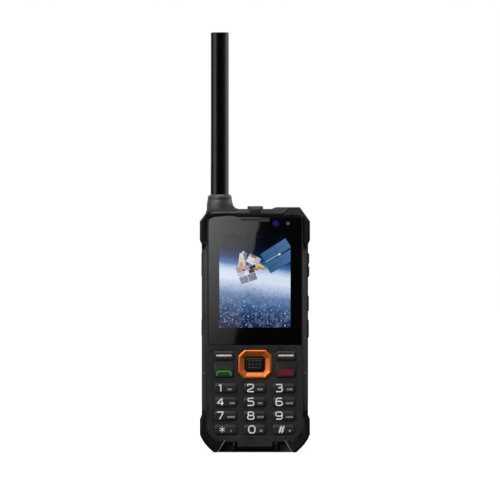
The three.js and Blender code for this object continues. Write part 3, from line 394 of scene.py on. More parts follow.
def display_picture(name):
    """Lit panel that shows a planet and a plain satellite, inside a dark frame."""
    g = Graph(name)
    u, v, lit = display_window(g)
    picture = spacecraft(g, planet(g, u, v), u, v)
    shader = g.principled({
        "Base Color": gray(0.002),
        "Roughness": 0.3,
        "Specular IOR Level": 0.1,
        "Emission Color": picture,
        "Emission Strength": lit,
    })
    return g.finish(shader)


def cover_glass(name):
    """Clear glass over the display, inked black behind its border."""
    g = Graph(name)
    window = display_window(g)[2]
    smears = g.remap(g.noise(14, 4, 0.6), 0.3, 0.8, 0.02, 0.05)
    ink = g.principled({
        "Base Color": g.mix(g.noise(20, 2), gray(0.0015), gray(0.003)),
        "Roughness": smears,
        "Specular IOR Level": 0.52,
    })
    shine = g.add("ShaderNodeBsdfGlossy", {"Color": gray(1), "Roughness": smears}).outputs[0]
    clear = g.add("ShaderNodeBsdfTransparent", {"Color": gray(0.97)}).outputs[0]
    outside = g.minus(1.0, g.add("ShaderNodeNewGeometry").outputs["Backfacing"])
    fresnel = g.times(g.add("ShaderNodeFresnel", {"IOR": 1.5}).outputs[0], outside)
    glass = g.blend_shaders(fresnel, clear, shine)
    return g.finish(g.blend_shaders(window, ink, glass))


CASE = moulded("case_plastic", (0.02, 0.02, 0.0212), 0.46, grain=0.3, bump=0.3, wear=0.1)
# Its base is lighter than the front case plastic, a painted highlight that brightens the antenna boss and
# collar; its gloss differs too.
REAR_CASE = moulded("rear_case_plastic", (0.046, 0.046, 0.047), 0.36,
                    grain=0.26, bump=0.16, wear=0.06, specular=0.6)
DOOR = moulded("door_plastic", (0.018, 0.018, 0.019), 0.5, grain=0.45, bump=0.5, wear=0.04)
RUBBER = moulded("bumper_rubber", (0.0026, 0.0026, 0.0028), 0.52, grain=0.25, bump=0.35, specular=0.24)
# Light gray plastic whose lightness is a painted highlight on the seam lips and side nubs.
LIP_HIGHLIGHT = moulded("seam_lip", (0.2, 0.2, 0.19), 0.45, grain=0.25, bump=0.15)
# Light gray plastic whose lightness is a painted highlight on the edges of the earpiece slot.
SLOT_RIM_HIGHLIGHT = moulded("slot_rim_highlight_plastic", (0.095, 0.095, 0.095), 0.4, grain=0.25, bump=0.1)
KEYPAD = moulded("keypad_plastic", (0.0185, 0.0185, 0.0195), 0.5, grain=0.22, bump=0.2)
KEY_CAP = moulded("key_cap_plastic", (0.018, 0.018, 0.019), 0.44, grain=0.16, bump=0.12, specular=0.42)
OK_CAP = moulded("ok_cap_plastic", (0.0018, 0.0018, 0.002), 0.3, grain=0.16, bump=0.08)
OK_DOTS = moulded("ok_dot_plastic", (0.026, 0.026, 0.03), 0.4, grain=0.16, bump=0.08)
CALL_CAP = moulded("call_cap_plastic", (0.014, 0.019, 0.0145), 0.4, grain=0.16, bump=0.12)
END_CAP = moulded("end_cap_plastic", (0.021, 0.0125, 0.0135), 0.4, grain=0.16, bump=0.12)
ANTENNA = moulded("antenna_plastic", (0.0016, 0.0016, 0.0018), 0.2, grain=0.2, bump=0.05, wear=0.1)
SEAL = moulded("seal_silicone", (0.12, 0.03, 0.02), 0.6, grain=0.3, bump=0.2)
WRAP = moulded("battery_wrap", (0.03, 0.03, 0.034), 0.5, grain=0.5, bump=0.1)
BOARD = moulded("board_mask", (0.012, 0.11, 0.045), 0.4, grain=0.8, bump=0.2)
ORANGE = lacquer("nav_orange", (1.0, 0.21, 0.012))
STEEL = metal("screw_steel", (0.5, 0.5, 0.52), 0.34, (3, 1, 1))
MESH_METAL = metal("earpiece_mesh", (0.12, 0.12, 0.12), 0.5, (1, 1, 6))
BRASS = metal("stud_brass", (0.72, 0.5, 0.2), 0.3, (1, 1, 8))
# The legend and key mark inks carry a painted glow of the given strength.
WHITE_INK = ink_with_painted_glow("legend_ink", (0.8, 0.8, 0.79), 0.45)
GRAY_INK = ink_with_painted_glow("legend_gray_ink", (0.5, 0.5, 0.5), 0.12)
SOFT_WHITE = ink_with_painted_glow("soft_key_ink", (0.78, 0.76, 0.73), 0.36)
GREEN_MARK = ink_with_painted_glow("call_mark", (0.05, 0.3, 0.07), 0.4)
DARK_GREEN = ink_with_painted_glow("call_mark_fill", (0.004, 0.07, 0.016), 0.3)
RED_MARK = ink_with_painted_glow("end_mark", (0.18, 0.012, 0.026), 0.3)
# The sensor window is brightest in its middle, a painted highlight, and carries a painted glow.
VIOLET = round_window("violet_window", "sensor_window", [
    (0.0, (0.009, 0.001, 0.2)),
    (0.45, (0.007, 0.0005, 0.13)),
    (0.75, (0.003, 0.0, 0.05)),
    (1.0, (0.001, 0.0, 0.012)),
], coating=(0.008, 0.001, 0.1), glow=0.5)
# Painted glint: the front camera glass is bright in its middle and darkens towards its rim.
FRONT_EYE = round_window("front_camera_glass", "front_camera", [
    (0.0, (0.34, 0.33, 0.27)),
    (0.2, (0.2, 0.19, 0.16)),
    (0.4, (0.05, 0.05, 0.045)),
    (0.7, (0.012, 0.012, 0.012)),
    (0.95, (0.004, 0.004, 0.005)),
])
REAR_EYE = round_window("rear_camera_glass", "rear_camera", [
    (0.0, (0.004, 0.006, 0.016)),
    (0.26, (0.016, 0.02, 0.05)),
    (0.34, (0.002, 0.002, 0.003)),
    (0.5, (0.05, 0.05, 0.055)),
    (0.54, (0.003, 0.003, 0.004)),
    (0.8, (0.004, 0.004, 0.005)),
    (0.86, (0.12, 0.12, 0.125)),
    (0.98, (0.05, 0.05, 0.052)),
])
CLEAR = frosted_lens("clear_lens", (0.42, 0.44, 0.46))
GLASS = cover_glass("lens_glass")
SCREEN = display_picture("screen_picture")

NODE_FINISH = {
    "front_housing": CASE,
    "rear_housing": REAR_CASE,
    "battery_door": DOOR,
    "cover_lens": GLASS,
    "display_module": SCREEN,
    "earpiece_mesh": MESH_METAL,
    "sensor_window": VIOLET,
    "front_camera": FRONT_EYE,
    "keypad_web": KEYPAD,
    "nav_actuator": KEYPAD,
    "sos_key": KEYPAD,
    "port_cover": RUBBER,
    "antenna_core": BRASS,
    "antenna_stud": BRASS,
    "antenna_collar": ANTENNA,
    "torch_bezel": CASE,
    "torch_lens": CLEAR,
    "battery": WRAP,
    "door_seal": SEAL,
    "main_board": BOARD,
    "rear_camera": REAR_EYE,
    "flash_lens": CLEAR,
}
PREFIX_FINISH = {
    "bumper_": RUBBER,
    "key_": KEY_CAP,
    "soft_key_": KEY_CAP,
    "side_key_": KEYPAD,
    "volume_": KEYPAD,
}


def finish_of(node):
    if node in NODE_FINISH:
        return NODE_FINISH[node]
    for prefix, material in PREFIX_FINISH.items():
        if node.startswith(prefix):
            return material
    return STEEL


# ---- CAD nodes that stay
EDGE_ROUND = {"front_housing": 0.16, "rear_housing": 0.3, "battery_door": 0.3, "port_cover": 0.25}
BUMPER_ROUND = 0.3


def soften(obj, width):
    """Rounds the sharp edges of a CAD node without touching its own mesh."""
    bpy.context.view_layer.objects.active = obj
    bpy.ops.mesh.customdata_custom_splitnormals_clear()
    obj.data.polygons.foreach_set("use_smooth", [True] * len(obj.data.polygons))
    weld = obj.modifiers.new("weld", "WELD")
    weld.merge_threshold = 2e-6
    bevel = obj.modifiers.new("round", "BEVEL")
    bevel.width = width * MM
    bevel.segments = 3
    bevel.limit_method = "ANGLE"
    bevel.angle_limit = math.radians(28)
    bevel.use_clamp_overlap = True
    bevel.harden_normals = True


def dress_cad_nodes():
    for name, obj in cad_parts.items():
        obj.data.materials.clear()
        obj.data.materials.append(finish_of(name))
        width = BUMPER_ROUND if name.startswith("bumper_") else EDGE_ROUND.get(name, 0.06)
        soften(obj, width)


# ---- mesh building
def rounded(corners, radius, steps=4):
    """The closed outline through corners, each corner an arc of steps + 1 points."""
    points = []
    for i, corner in enumerate(corners):
        at = Vector(corner)
        before = Vector(corners[i - 1]) - at
        after = Vector(corners[(i + 1) % len(corners)]) - at
        half = before.angle(after) / 2
        limit = 0.49 * min(before.length, after.length) * math.tan(half)
        r = min(radius[i] if isinstance(radius, (list, tuple)) else radius, limit)
        bisector = (before.normalized() + after.normalized()).normalized()
        centre = at + bisector * (r / math.sin(half))
        start = at + before.normalized() * (r / math.tan(half)) - centre
        end = at + after.normalized() * (r / math.tan(half)) - centre
        turn = start.angle_signed(end)
        for k in range(steps + 1):
            a = -turn * k / steps
            x = start.x * math.cos(a) - start.y * math.sin(a)
            z = start.x * math.sin(a) + start.y * math.cos(a)
            points.append((centre.x + x, centre.y + z))
    return points


def frame_corners(x0, x1, z0, z1):
    return [(x0, z0), (x1, z0), (x1, z1), (x0, z1)]


def rectangle_corners(x, z, width, height):
    return frame_corners(x - width / 2, x + width / 2, z - height / 2, z + height / 2)


def octagon_corners(x, z, width, height, chamfer):
    w, h, c = width / 2, height / 2, chamfer
    quarter = [(w - c, -h), (w, c - h), (w, h - c), (w - c, h)]
    around = quarter + [(-px, -pz) for px, pz in quarter]
    return [(x + px, z + pz) for px, pz in around]


def new_object(name, build, material, body, smooth_angle=35):
    """An object on a body, its mesh filled by build(bm) in millimetres, with the given material."""
    bm = bmesh.new()
    build(bm)
    bmesh.ops.recalc_face_normals(bm, faces=bm.faces)
    for vertex in bm.verts:
        vertex.co *= MM
    mesh = bpy.data.meshes.new(name)
    bm.to_mesh(mesh)
    bm.free()
    mesh.polygons.foreach_set("use_smooth", [True] * len(mesh.polygons))
    mesh.set_sharp_from_angle(angle=math.radians(smooth_angle))
    mesh.materials.append(material)
    obj = bpy.data.objects.new(name, mesh)
    bpy.context.scene.collection.objects.link(obj)
    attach(obj, body)
    return obj


def loft(bm, rings, close=False):
    """Skins rings of equal length; the ends are capped, or joined to each other when close is set."""
    loops = [[bm.verts.new(p) for p in ring] for ring in rings]
    pairs = list(zip(loops, loops[1:])) + ([(loops[-1], loops[0])] if close else [])
    for a, b in pairs:
        for i in range(len(a)):
            j = (i + 1) % len(a)
            bm.faces.new((a[i], a[j], b[j], b[i]))
    if not close:
        bm.faces.new(loops[0])
        bm.faces.new(list(reversed(loops[-1])))


def ring_at(points, y):
    return [(x, y, z) for x, z in points]


def pillow(bm, box, radius, base_y, top_y, fillet, brow):
    """A cap that rises from base_y to a flat face at top_y. Its sides are rounded, and its upper edge is a
    plane slope of height brow that meets the face at an angle."""
    x0, x1, z0, z1 = box
    steps = 5
    least_radius = 0.2
    brow_at_foot = 0.12
    rings = [ring_at(rounded(frame_corners(x0, x1, z0, z1), radius, steps), base_y)]
    for k in range(steps + 1):
        a = math.pi / 2 * k / steps
        step = fillet * (1 - math.cos(a))
        rise = math.sin(a)
        drop = brow * (brow_at_foot + (1 - brow_at_foot) * rise) if k else 0
        corners = frame_corners(x0 + step, x1 - step, z0 + step, z1 - drop)
        outline = rounded(corners, max(radius - step, least_radius), steps)
        rings.append(ring_at(outline, top_y + fillet * (1 - rise)))
    inner = frame_corners(x0 + 2 * fillet, x1 - 2 * fillet, z0 + 2 * fillet, z1 - brow - fillet)
    rings.append(ring_at(rounded(inner, least_radius, steps), top_y))
    loft(bm, rings)


def slab(bm, corners, radius, steps, back_y, front_y):
    """A flat plate with rounded corners."""
    outline = rounded(corners, radius, steps)
    loft(bm, [ring_at(outline, back_y), ring_at(outline, front_y)])


def turned(radius, steps):
    """Offsets of the points of a ring. Its radius is a number, or a function of the angle."""
    angles = [2 * math.pi * k / steps for k in range(steps)]
    reaches = [radius(a) if callable(radius) else radius for a in angles]
    return [(r * math.cos(a), r * math.sin(a)) for r, a in zip(reaches, angles)]


def lathe(bm, profile, centre, steps, close=False):
    """Solid of revolution about a vertical axis, from (radius, height) pairs off the axis."""
    x, y = centre
    loft(bm, [[(x + dx, y + dy, z) for dx, dy in turned(radius, steps)] for radius, z in profile], close)


def lathe_in_depth(bm, profile, centre, steps):
    """Solid of revolution about the depth axis, from (radius, y) pairs off the axis."""
    x, z = centre
    loft(bm, [[(x + dx, y, z + dz) for dx, dz in turned(radius, steps)] for radius, y in profile])


def ribbon(bm, path, width, front_y, back_y, closed=False):
    """A flat stroke of even width along an (x, z) path, as a closed thin solid."""
    count = len(path)
    left, right = [], []
    for i, point in enumerate(path):
        here = Vector(point)
        before = Vector(path[i - 1]) if closed or i > 0 else None
        after = Vector(path[(i + 1) % count]) if closed or i < count - 1 else None
        d1 = (here - before).normalized() if before is not None else None
        d2 = (after - here).normalized() if after is not None else None
        d1 = d1 or d2
        d2 = d2 or d1
        n1, n2 = Vector((-d1.y, d1.x)), Vector((-d2.y, d2.x))
        offset = (n1 + n2) * (width / 2 / (1 + n1.dot(n2)))
        left.append(here + offset)
        right.append(here - offset)
    sections = []
    for a, b in zip(left, right):
        corners = [(a.x, front_y, a.y), (b.x, front_y, b.y), (b.x, back_y, b.y), (a.x, back_y, a.y)]
        sections.append([bm.verts.new(c) for c in corners])
    spans = list(zip(sections, sections[1:])) + ([(sections[-1], sections[0])] if closed else [])
    for s, t in spans:
        for i in range(4):
            j = (i + 1) % 4
            bm.faces.new((s[i], s[j], t[j], t[i]))
    if not closed:
        bm.faces.new(sections[0])
        bm.faces.new(list(reversed(sections[-1])))


def soft_path(points, radius, steps=5):
    """An open path whose inner corners are rounded."""
    result = [points[0]]
    for a, b, c in zip(points, points[1:], points[2:]):
        arc = rounded([a, b, c], [0.001, radius, 0.001], steps)
        result.extend(arc[steps + 1:2 * (steps + 1)])
    result.append(points[-1])
    return result


# ---- keypad
# Strokes of each legend in a box 1 wide and 1 high: (corner radius as a share of the width, closed, points).
GLYPHS = {
    "1": [(0.05, False, [(0.28, 0.8), (0.6, 1.0), (0.6, 0.0)])],
    "2": [(0.32, False, [(0.04, 0.76), (0.04, 1.0), (0.96, 1.0), (0.96, 0.55),
                         (0.06, 0.2), (0.04, 0.0), (1.0, 0.0)])],
    "3": [
        (0.32, False, [(0.04, 0.97), (0.96, 1.0), (0.93, 0.53), (0.36, 0.53)]),
        (0.32, False, [(0.62, 0.53), (1.0, 0.53), (1.0, 0.0), (0.0, 0.0)]),
    ],
    "4": [(0.04, False, [(0.78, 0.0), (0.78, 1.0), (0.02, 0.3), (1.04, 0.3)])],
    "5": [(0.3, False, [(0.94, 1.0), (0.08, 1.0), (0.06, 0.56), (1.0, 0.6), (1.0, 0.0), (0.0, 0.0)])],
    "6": [
        (0.34, True, [(0.0, 0.0), (1.0, 0.0), (1.0, 0.57), (0.0, 0.57)]),
        (0.4, False, [(0.0, 0.34), (0.0, 1.0), (0.92, 1.0)]),
    ],
    "7": [(0.04, False, [(0.0, 1.0), (1.0, 1.0), (0.42, 0.0)])],
    "8": [
        (0.3, True, [(0.0, 0.0), (1.0, 0.0), (1.0, 0.52), (0.0, 0.52)]),
        (0.3, True, [(0.07, 0.54), (0.93, 0.54), (0.93, 1.0), (0.07, 1.0)]),
    ],
    "9": [
        (0.34, True, [(0.0, 0.43), (1.0, 0.43), (1.0, 1.0), (0.0, 1.0)]),
        (0.4, False, [(1.0, 0.66), (1.0, 0.0), (0.08, 0.0)]),
    ],
    "0": [(0.42, True, [(0.0, 0.0), (1.0, 0.0), (1.0, 1.0), (0.0, 1.0)])],
    "hash": [
        (0.02, False, [(0.16, 0.0), (0.5, 1.0)]),
        (0.02, False, [(0.56, 0.0), (0.9, 1.0)]),
        (0.02, False, [(0.08, 0.33), (0.86, 0.33)]),
        (0.02, False, [(0.2, 0.67), (0.98, 0.67)]),
    ],
    "star": [(0.02, False, [(0.5 + 0.46 * math.cos(a), 0.5 + 0.42 * math.sin(a)),
                            (0.5 - 0.46 * math.cos(a), 0.5 - 0.42 * math.sin(a))])
             for a in (math.pi / 2, math.pi / 6, -math.pi / 6)],
}
GLYPH_HEIGHT = 3.7
GLYPH_WIDTH = 3.25
GLYPH_STROKE = 0.6
THIN_STROKE = 0.372
# Shift of each number from its key's middle, then the blocks in place of its letters: count, shift, width.
LEGENDS = {
    "1": (-2.9, 2, 1.9, 2.3),
    "2": (-2.25, 3, 2.5, 3.0),
    "3": (-2.5, 3, 2.9, 3.1),
    "4": (-2.9, 3, 3.3, 2.9),
    "5": (-2.2, 3, 2.6, 2.4),
    "6": (-2.5, 3, 2.8, 3.9),
    "7": (-2.9, 4, 2.7, 4.1),
    "8": (-2.1, 3, 2.8, 3.5),
    "9": (-2.6, 4, 2.8, 3.8),
    "star": (-1.9, 1, 2.7, 0.8),
    "0": (-1.6, 1, 3.2, 1.9),
    "hash": (-1.35, 1, 3.0, 1.4),
}


def glyph(bm, label, x, z, y):
    """The legend of a number key, centred at (x, z), standing just proud of its cap."""
    for order, (radius, closed, points) in enumerate(GLYPHS[label]):
        placed = [(x + (px - 0.5) * GLYPH_WIDTH, z + (pz - 0.5) * GLYPH_HEIGHT) for px, pz in points]
        bend = radius * GLYPH_WIDTH
        path = rounded(placed, bend, 5) if closed else soft_path(placed, bend)
        stroke = THIN_STROKE if label == "star" else GLYPH_STROKE
        # Crossing strokes differ a little in height, so that no two faces lie in one plane.
        ribbon(bm, path, stroke, y - 0.03 - 0.004 * order, y + 0.25, closed)


def letter_marks(bm, count, x, z, width, y):
    """Small blocks in place of the letters printed beside a number."""
    pitch = width / count
    block_width, block_height = pitch * 0.74, 0.95
    for k in range(count):
        at = x + (k - (count - 1) / 2) * pitch
        slab(bm, rectangle_corners(at, z, block_width, block_height), 0.15, 2, y + 0.2, y - 0.015)


def key_cap(node, material, corner, fillet, brow):
    """Moulded cap that stands for a CAD key, with the flange and the plunger behind it."""
    low, high = span(node)
    flange, flange_front, flange_back = 0.25, WEB_Y + 1.6, WEB_Y + 2.3
    cap_back, plunger = WEB_Y + 1.9, 1.1
    x, z = (low.x + high.x) / 2, (low.z + high.z) / 2
    face = (low.x + flange, high.x - flange, low.z + flange, high.z - flange)

    def build(bm):
        pillow(bm, face, corner, cap_back, low.y, fillet, brow)
        slab(bm, frame_corners(low.x, high.x, low.z, high.z), 0.4, 2, flange_back, flange_front)
        lathe_in_depth(bm, [(plunger, high.y), (plunger, flange_back - 0.1)], (x, z), 16)

    cap = new_object(node + "_cap", build, material, node + "_body")
    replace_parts(cap, node)
    return x, z, low.y


def number_keys():
    for label in GLYPHS:
        node = "key_" + label
        x, z, y = key_cap(node, KEY_CAP, corner=1.5, fillet=0.6, brow=1.25)
        shift, count, block_shift, width = LEGENDS[label]
        new_object(node + "_legend", lambda bm: glyph(bm, label, x + shift, z, y),
                   WHITE_INK, node + "_body")
        new_object(node + "_marks", lambda bm: letter_marks(bm, count, x + block_shift, z - 0.7, width, y),
                   GRAY_INK, node + "_body")


def bar(bm, x, z, width, height, radius, y):
    """Inlaid bar, centred at (x, z), that stands just proud of a cap."""
    slab(bm, rectangle_corners(x, z, width, height), radius, 3, y + 0.3, y - 0.05)


def soft_keys():
    for _, end in SIDES:
        node = "soft_key_" + end
        x, z, y = key_cap(node, KEYPAD, corner=1.0, fillet=0.45, brow=0.6)
        new_object(node + "_dash", lambda bm: bar(bm, x, z + 0.05, 7.9, 0.8, 0.25, y),
                   SOFT_WHITE, node + "_body")


def handset_mark(bm, x, z, y):
    """Arch of a telephone handset, legs down."""
    path = [(-3.55, -1.1), (-3.55, 0.95), (3.55, 0.95), (3.55, -1.1)]
    placed = [(x + px, z + pz) for px, pz in path]
    ribbon(bm, soft_path(placed, 1.0), 0.75, y - 0.05, y + 0.25)


def call_keys():
    """Call and end keys, whose faces slope over most of their height above a coloured mark."""
    slope = {"corner": 1.0, "fillet": 0.55, "brow": 4.3}
    x, z, y = key_cap("call_key", CALL_CAP, **slope)
    low = z - 1.95
    new_object("call_key_mark", lambda bm: handset_mark(bm, x, low, y),
               GREEN_MARK, "call_key_body")
    new_object("call_key_fill", lambda bm: bar(bm, x, low - 0.25, 6.2, 1.5, 0.3, y + 0.03),
               DARK_GREEN, "call_key_body")
    x, z, y = key_cap("end_key", END_CAP, **slope)
    new_object("end_key_mark", lambda bm: bar(bm, x, z - 1.6, 7.7, 3.0, 0.9, y),
               RED_MARK, "end_key_body")


def nav_ring():
    """Dished lacquered ring: bevelled rim, sloping inner faces and a four-cornered opening."""
    low, high = span("nav_ring")
    x, z = 0.0, (low.z + high.z) / 2
    width, height = high.x - low.x, high.z - low.z
    chamfer, least_chamfer, radius = 3.0, 0.6, 0.5
    # From the outer wall over the rim to the opening: inset from the outline, corner cut, place in depth.
    sections = [
        (0.0, chamfer, high.y),
        (0.0, chamfer, low.y + 0.62),
        (0.12, chamfer, low.y + 0.36),
        (0.42, chamfer - 0.15, low.y + 0.1),
        (0.72, chamfer - 0.2, low.y),
        (1.05, chamfer - 0.3, low.y + 0.05),
        (1.3, chamfer - 0.4, low.y + 0.24),
        (3.15, chamfer - 1.6, low.y + 1.3),
        (3.38, chamfer - 1.85, low.y + 1.5),
        (3.42, chamfer - 1.9, high.y),
    ]

    def build(bm):
        rings = []
        for step, cut, y in sections:
            outline = octagon_corners(x, z, width - 2 * step, height - 2 * step, max(cut, least_chamfer))
            rings.append(ring_at(rounded(outline, radius, 3), y))
        loft(bm, rings, close=True)

    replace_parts(new_object("nav_ring_shell", build, ORANGE, "nav_ring_body", 28), "nav_ring")


def ok_key():
    """Square key with a grid of raised dots."""
    x, z, y = key_cap("ok_key", OK_CAP, corner=0.8, fillet=0.35, brow=0.6)
    columns, rows, pitch, drop = 4, 3, 1.75, 0.2
    dome = [(0.6, y + 0.2), (0.6, y - 0.02), (0.45, y - 0.14), (0.16, y - 0.2)]

    def dots(bm):
        for i in range(columns):
            for j in range(rows):
                across, up = i - (columns - 1) / 2, j - (rows - 1) / 2
                lathe_in_depth(bm, dome, (x + across * pitch, z - drop + up * pitch), 14)

    new_object("ok_key_dots", dots, OK_DOTS, "ok_key_body")


# ---- antenna and top
ANTENNA_STEPS = 72


def antenna():
    """Straight rod with a softened tip, and the collar that it is moulded into."""
    low, high = span("antenna_sleeve")
    centre = ((low.x + high.x) / 2, (low.y + high.y) / 2)
    r = (high.x - low.x) / 2
    bend, bend_steps = 0.5, 6
    angles = [math.pi / 2 * k / bend_steps for k in range(bend_steps + 1)]
    tip = [(r - bend * (1 - math.cos(a)), high.z - bend * (1 - math.sin(a))) for a in angles]
    profile = [(r, low.z), *tip, (r * 0.5, high.z), (0.4, high.z)]
    rod = new_object("antenna_rod", lambda bm: lathe(bm, profile, centre, ANTENNA_STEPS),
                     ANTENNA, "antenna", 40)
    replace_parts(rod, "antenna_sleeve")
    low, high = span("antenna_collar")
    outer = (high.x - low.x) / 2
    bore = r + 0.12
    skirt = outer - 0.4
    groove = 0.18
    foot = span("rear_housing")[1].z + 0.02
    ring = [
        (bore, foot),
        (skirt, foot),
        (skirt, low.z),
        (outer - 0.1, low.z),
        (outer, low.z + 0.1),
        (outer, low.z + 0.5),
        (outer - groove, low.z + 0.6),
        (outer - groove, low.z + 0.75),
        (outer - 0.02, low.z + 0.85),
        (outer - 0.25, low.z + 1.5),
        (outer - 0.6, low.z + 2.05),
        (outer - 1.0, low.z + 2.4),
        (outer - 1.4, high.z),
        (bore, high.z),
    ]
    collar = new_object("antenna_collar_ring", lambda bm: lathe(bm, ring, centre, ANTENNA_STEPS, close=True),
                        REAR_CASE, "antenna", 40)
    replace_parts(collar, "antenna_collar")


# ---- torch and screws
def prism(bm, outline, x, width, front_y):
    """Solid of even width about x, from (depth behind front_y, height) corners."""
    loft(bm, [[(px, front_y + depth, z) for depth, z in outline] for px in (x - width / 2, x + width / 2)])


def torch():
    """Knurled bezel round the torch lens, with a ribbed nose that fills the notch of the front rim."""
    low, high = span("torch_bezel")
    lens_low, lens_high = span("torch_lens")
    x, y = (lens_low.x + lens_high.x) / 2, (lens_low.y + lens_high.y) / 2
    radius = (high.x - low.x) / 2
    bore = (lens_high.x - lens_low.x) / 2 + 0.12
    teeth, tooth_depth, steps = 24, 0.14, 192

    def knurled(r, depth):
        return lambda a: r - depth * (0.5 + 0.5 * math.cos(teeth * a))

    sections = [
        (radius, low.z),
        (radius, high.z - 1.6),
        (knurled(radius, tooth_depth), high.z - 1.4),
        (knurled(radius, tooth_depth), high.z - 0.45),
        (knurled(radius - 0.12, 0.05), high.z - 0.15),
        (radius - 0.4, high.z),
        (bore + 0.23, high.z),
        (bore, high.z - 0.2),
        (bore, low.z),
    ]
    ribs, rib_pitch, rib_width, nose_width = 5, 0.96, 0.48, 4.8
    foot, head, slope = low.z + 2.6, high.z - 0.3, 1.3
    nose_front, nose_back, nose_head = 0.35, y - radius + 0.9 - low.y, head - 0.2
    rib_front, rib_back, rib_foot = 0.02, slope + 2, foot + 0.2
    nose = [(nose_front, foot), (nose_back, foot), (nose_back, nose_head), (slope + 0.3, nose_head),
            (nose_front, head - slope)]
    rib = [(rib_front, rib_foot), (rib_back, rib_foot), (rib_back, head), (slope, head),
           (rib_front, head - slope)]

    def build(bm):
        lathe(bm, sections, (x, y), steps, close=True)
        prism(bm, nose, x, nose_width, low.y)
        for k in range(ribs):
            prism(bm, rib, x + (k - (ribs - 1) / 2) * rib_pitch, rib_width, low.y)

    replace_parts(new_object("torch_ring", build, KEYPAD, "handset", 40), "torch_bezel")


def coin_slot(half_length, half_width):
    """Radius of a straight coin slot at each angle."""
    def at(a):
        return min(half_width / max(abs(math.sin(a)), 1e-6), half_length / max(abs(math.cos(a)), 1e-6))
    return at


def star_recess(radius):
    """Radius of a six-lobed driver recess at each angle."""
    return lambda a: radius * (1 + 0.17 * math.cos(6 * a))


def screw(node, body, head_height, recess, recess_depth):
    """Turned screw with a chamfered head and a driver recess, on its shank."""
    low, high = span(node)
    centre = ((low.x + high.x) / 2, (low.z + high.z) / 2)
    head = (high.x - low.x) / 2
    shank = head * 0.44
    top = high.y
    profile = [
        (0.05, low.y),
        (shank * 0.8, low.y),
        (shank, low.y + 0.3),
        (shank, top - head_height),
        (head, top - head_height),
        (head, top - 0.28),
        (head - 0.08, top - 0.1),
        (head - 0.3, top),
        (lambda a: recess(a) * 1.08 + 0.04, top),
        (recess, top - 0.1),
        (recess, top - recess_depth),
    ]
    solid = new_object(node + "_turned", lambda bm: lathe_in_depth(bm, profile, centre, 96), STEEL, body, 40)
    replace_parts(solid, node)


def screws():
    for _, end in SIDES:
        node = "door_screw_" + end
        screw(node, node + "_body", 0.8, coin_slot(2.3, 0.55), 0.42)
    for number in range(1, 5):
        screw("case_screw_" + str(number), "handset", 1.2, star_recess(0.85), 0.6)


# ---- small trim on the housings
# Flat front face of the case: half width, lower edge, corner radius, and the height its side trim starts at.
FACE_HALF = 25.3
FACE_FOOT = 6.35
FACE_CORNER = 6.3
FACE_STEP = 18.0
# Distance from the middle of the seam with a lower bumper, at the face and at the foot of the phone.
SEAM_KNEE = 15.5
SEAM_FOOT = 19.2
BEAD = {"half": 22.55, "low": 8.0, "high": 53.8, "corner": 5.5, "width": 0.4, "height": 0.14}
NUB_HEIGHT = 41.0
NUB_INSET = 1.05
GRIP = {"first": 24, "pitch": 9, "count": 5, "width": 29.5, "height": 2.4}
# The two layers of a grip strip: how much smaller it is, and how deep its back and its face lie in the door.
GRIP_LAYERS = ((0, 0.55, 0.3), (0.5, 0.31, 0.12))
SPEAKER = {"count": 5, "pitch": 3, "z": 96.5, "width": 1.3, "height": 8.9, "back": 2.6, "face": 2.0}


def trim(name, path, width, front_y, back_y, material, closed=False):
    """Ribbon along an (x, z) path, fixed to the handset."""
    new_object(name, lambda bm: ribbon(bm, path, width, front_y, back_y, closed),
               material, "handset")


def seam_trims():
    """Light gray lips, a painted highlight, along the joints of the lower bumpers and the case, and trims
    round its lower corners.
    """
    for side, end in SIDES:
        low = span("bumper_bottom_" + end)[0]
        diagonal = [(side * SEAM_KNEE, FACE_FOOT - 0.1), (side * SEAM_FOOT, 0.22)]
        trim("seam_lip_" + end, diagonal, 0.5, low.y + 0.02, low.y + 2.6, LIP_HIGHLIGHT)
        turn = [(side * FACE_HALF, FACE_STEP), (side * FACE_HALF, FACE_FOOT), (side * SEAM_KNEE, FACE_FOOT)]
        path = soft_path(turn, FACE_CORNER, 10)
        trim("corner_trim_" + end, path, 0.95, CASE_FACE_Y - 0.1, CASE_FACE_Y + 0.9, CASE)


def keypad_bead():
    """Low raised line that frames the keypad, in the lighter rear case plastic as a painted highlight."""
    box = frame_corners(-BEAD["half"], BEAD["half"], BEAD["low"], BEAD["high"])
    path = rounded(box, BEAD["corner"], 8)
    trim("keypad_bead", path, BEAD["width"], CASE_FACE_Y - BEAD["height"], CASE_FACE_Y + 0.3,
         REAR_CASE, closed=True)


def earpiece_rim():
    """Thin frame round the sound slot of the cover lens, light gray as a painted highlight of the slot's
    edges.
    """
    lens_y = span("cover_lens")[0].y
    low, high = span("earpiece_mesh")
    margin = 0.2
    box = frame_corners(low.x - margin, high.x + margin, low.z - margin, high.z + margin)
    trim("earpiece_rim", rounded(box, 0.6, 4), 0.3, lens_y - 0.04, lens_y + 0.2,
         SLOT_RIM_HIGHLIGHT, closed=True)


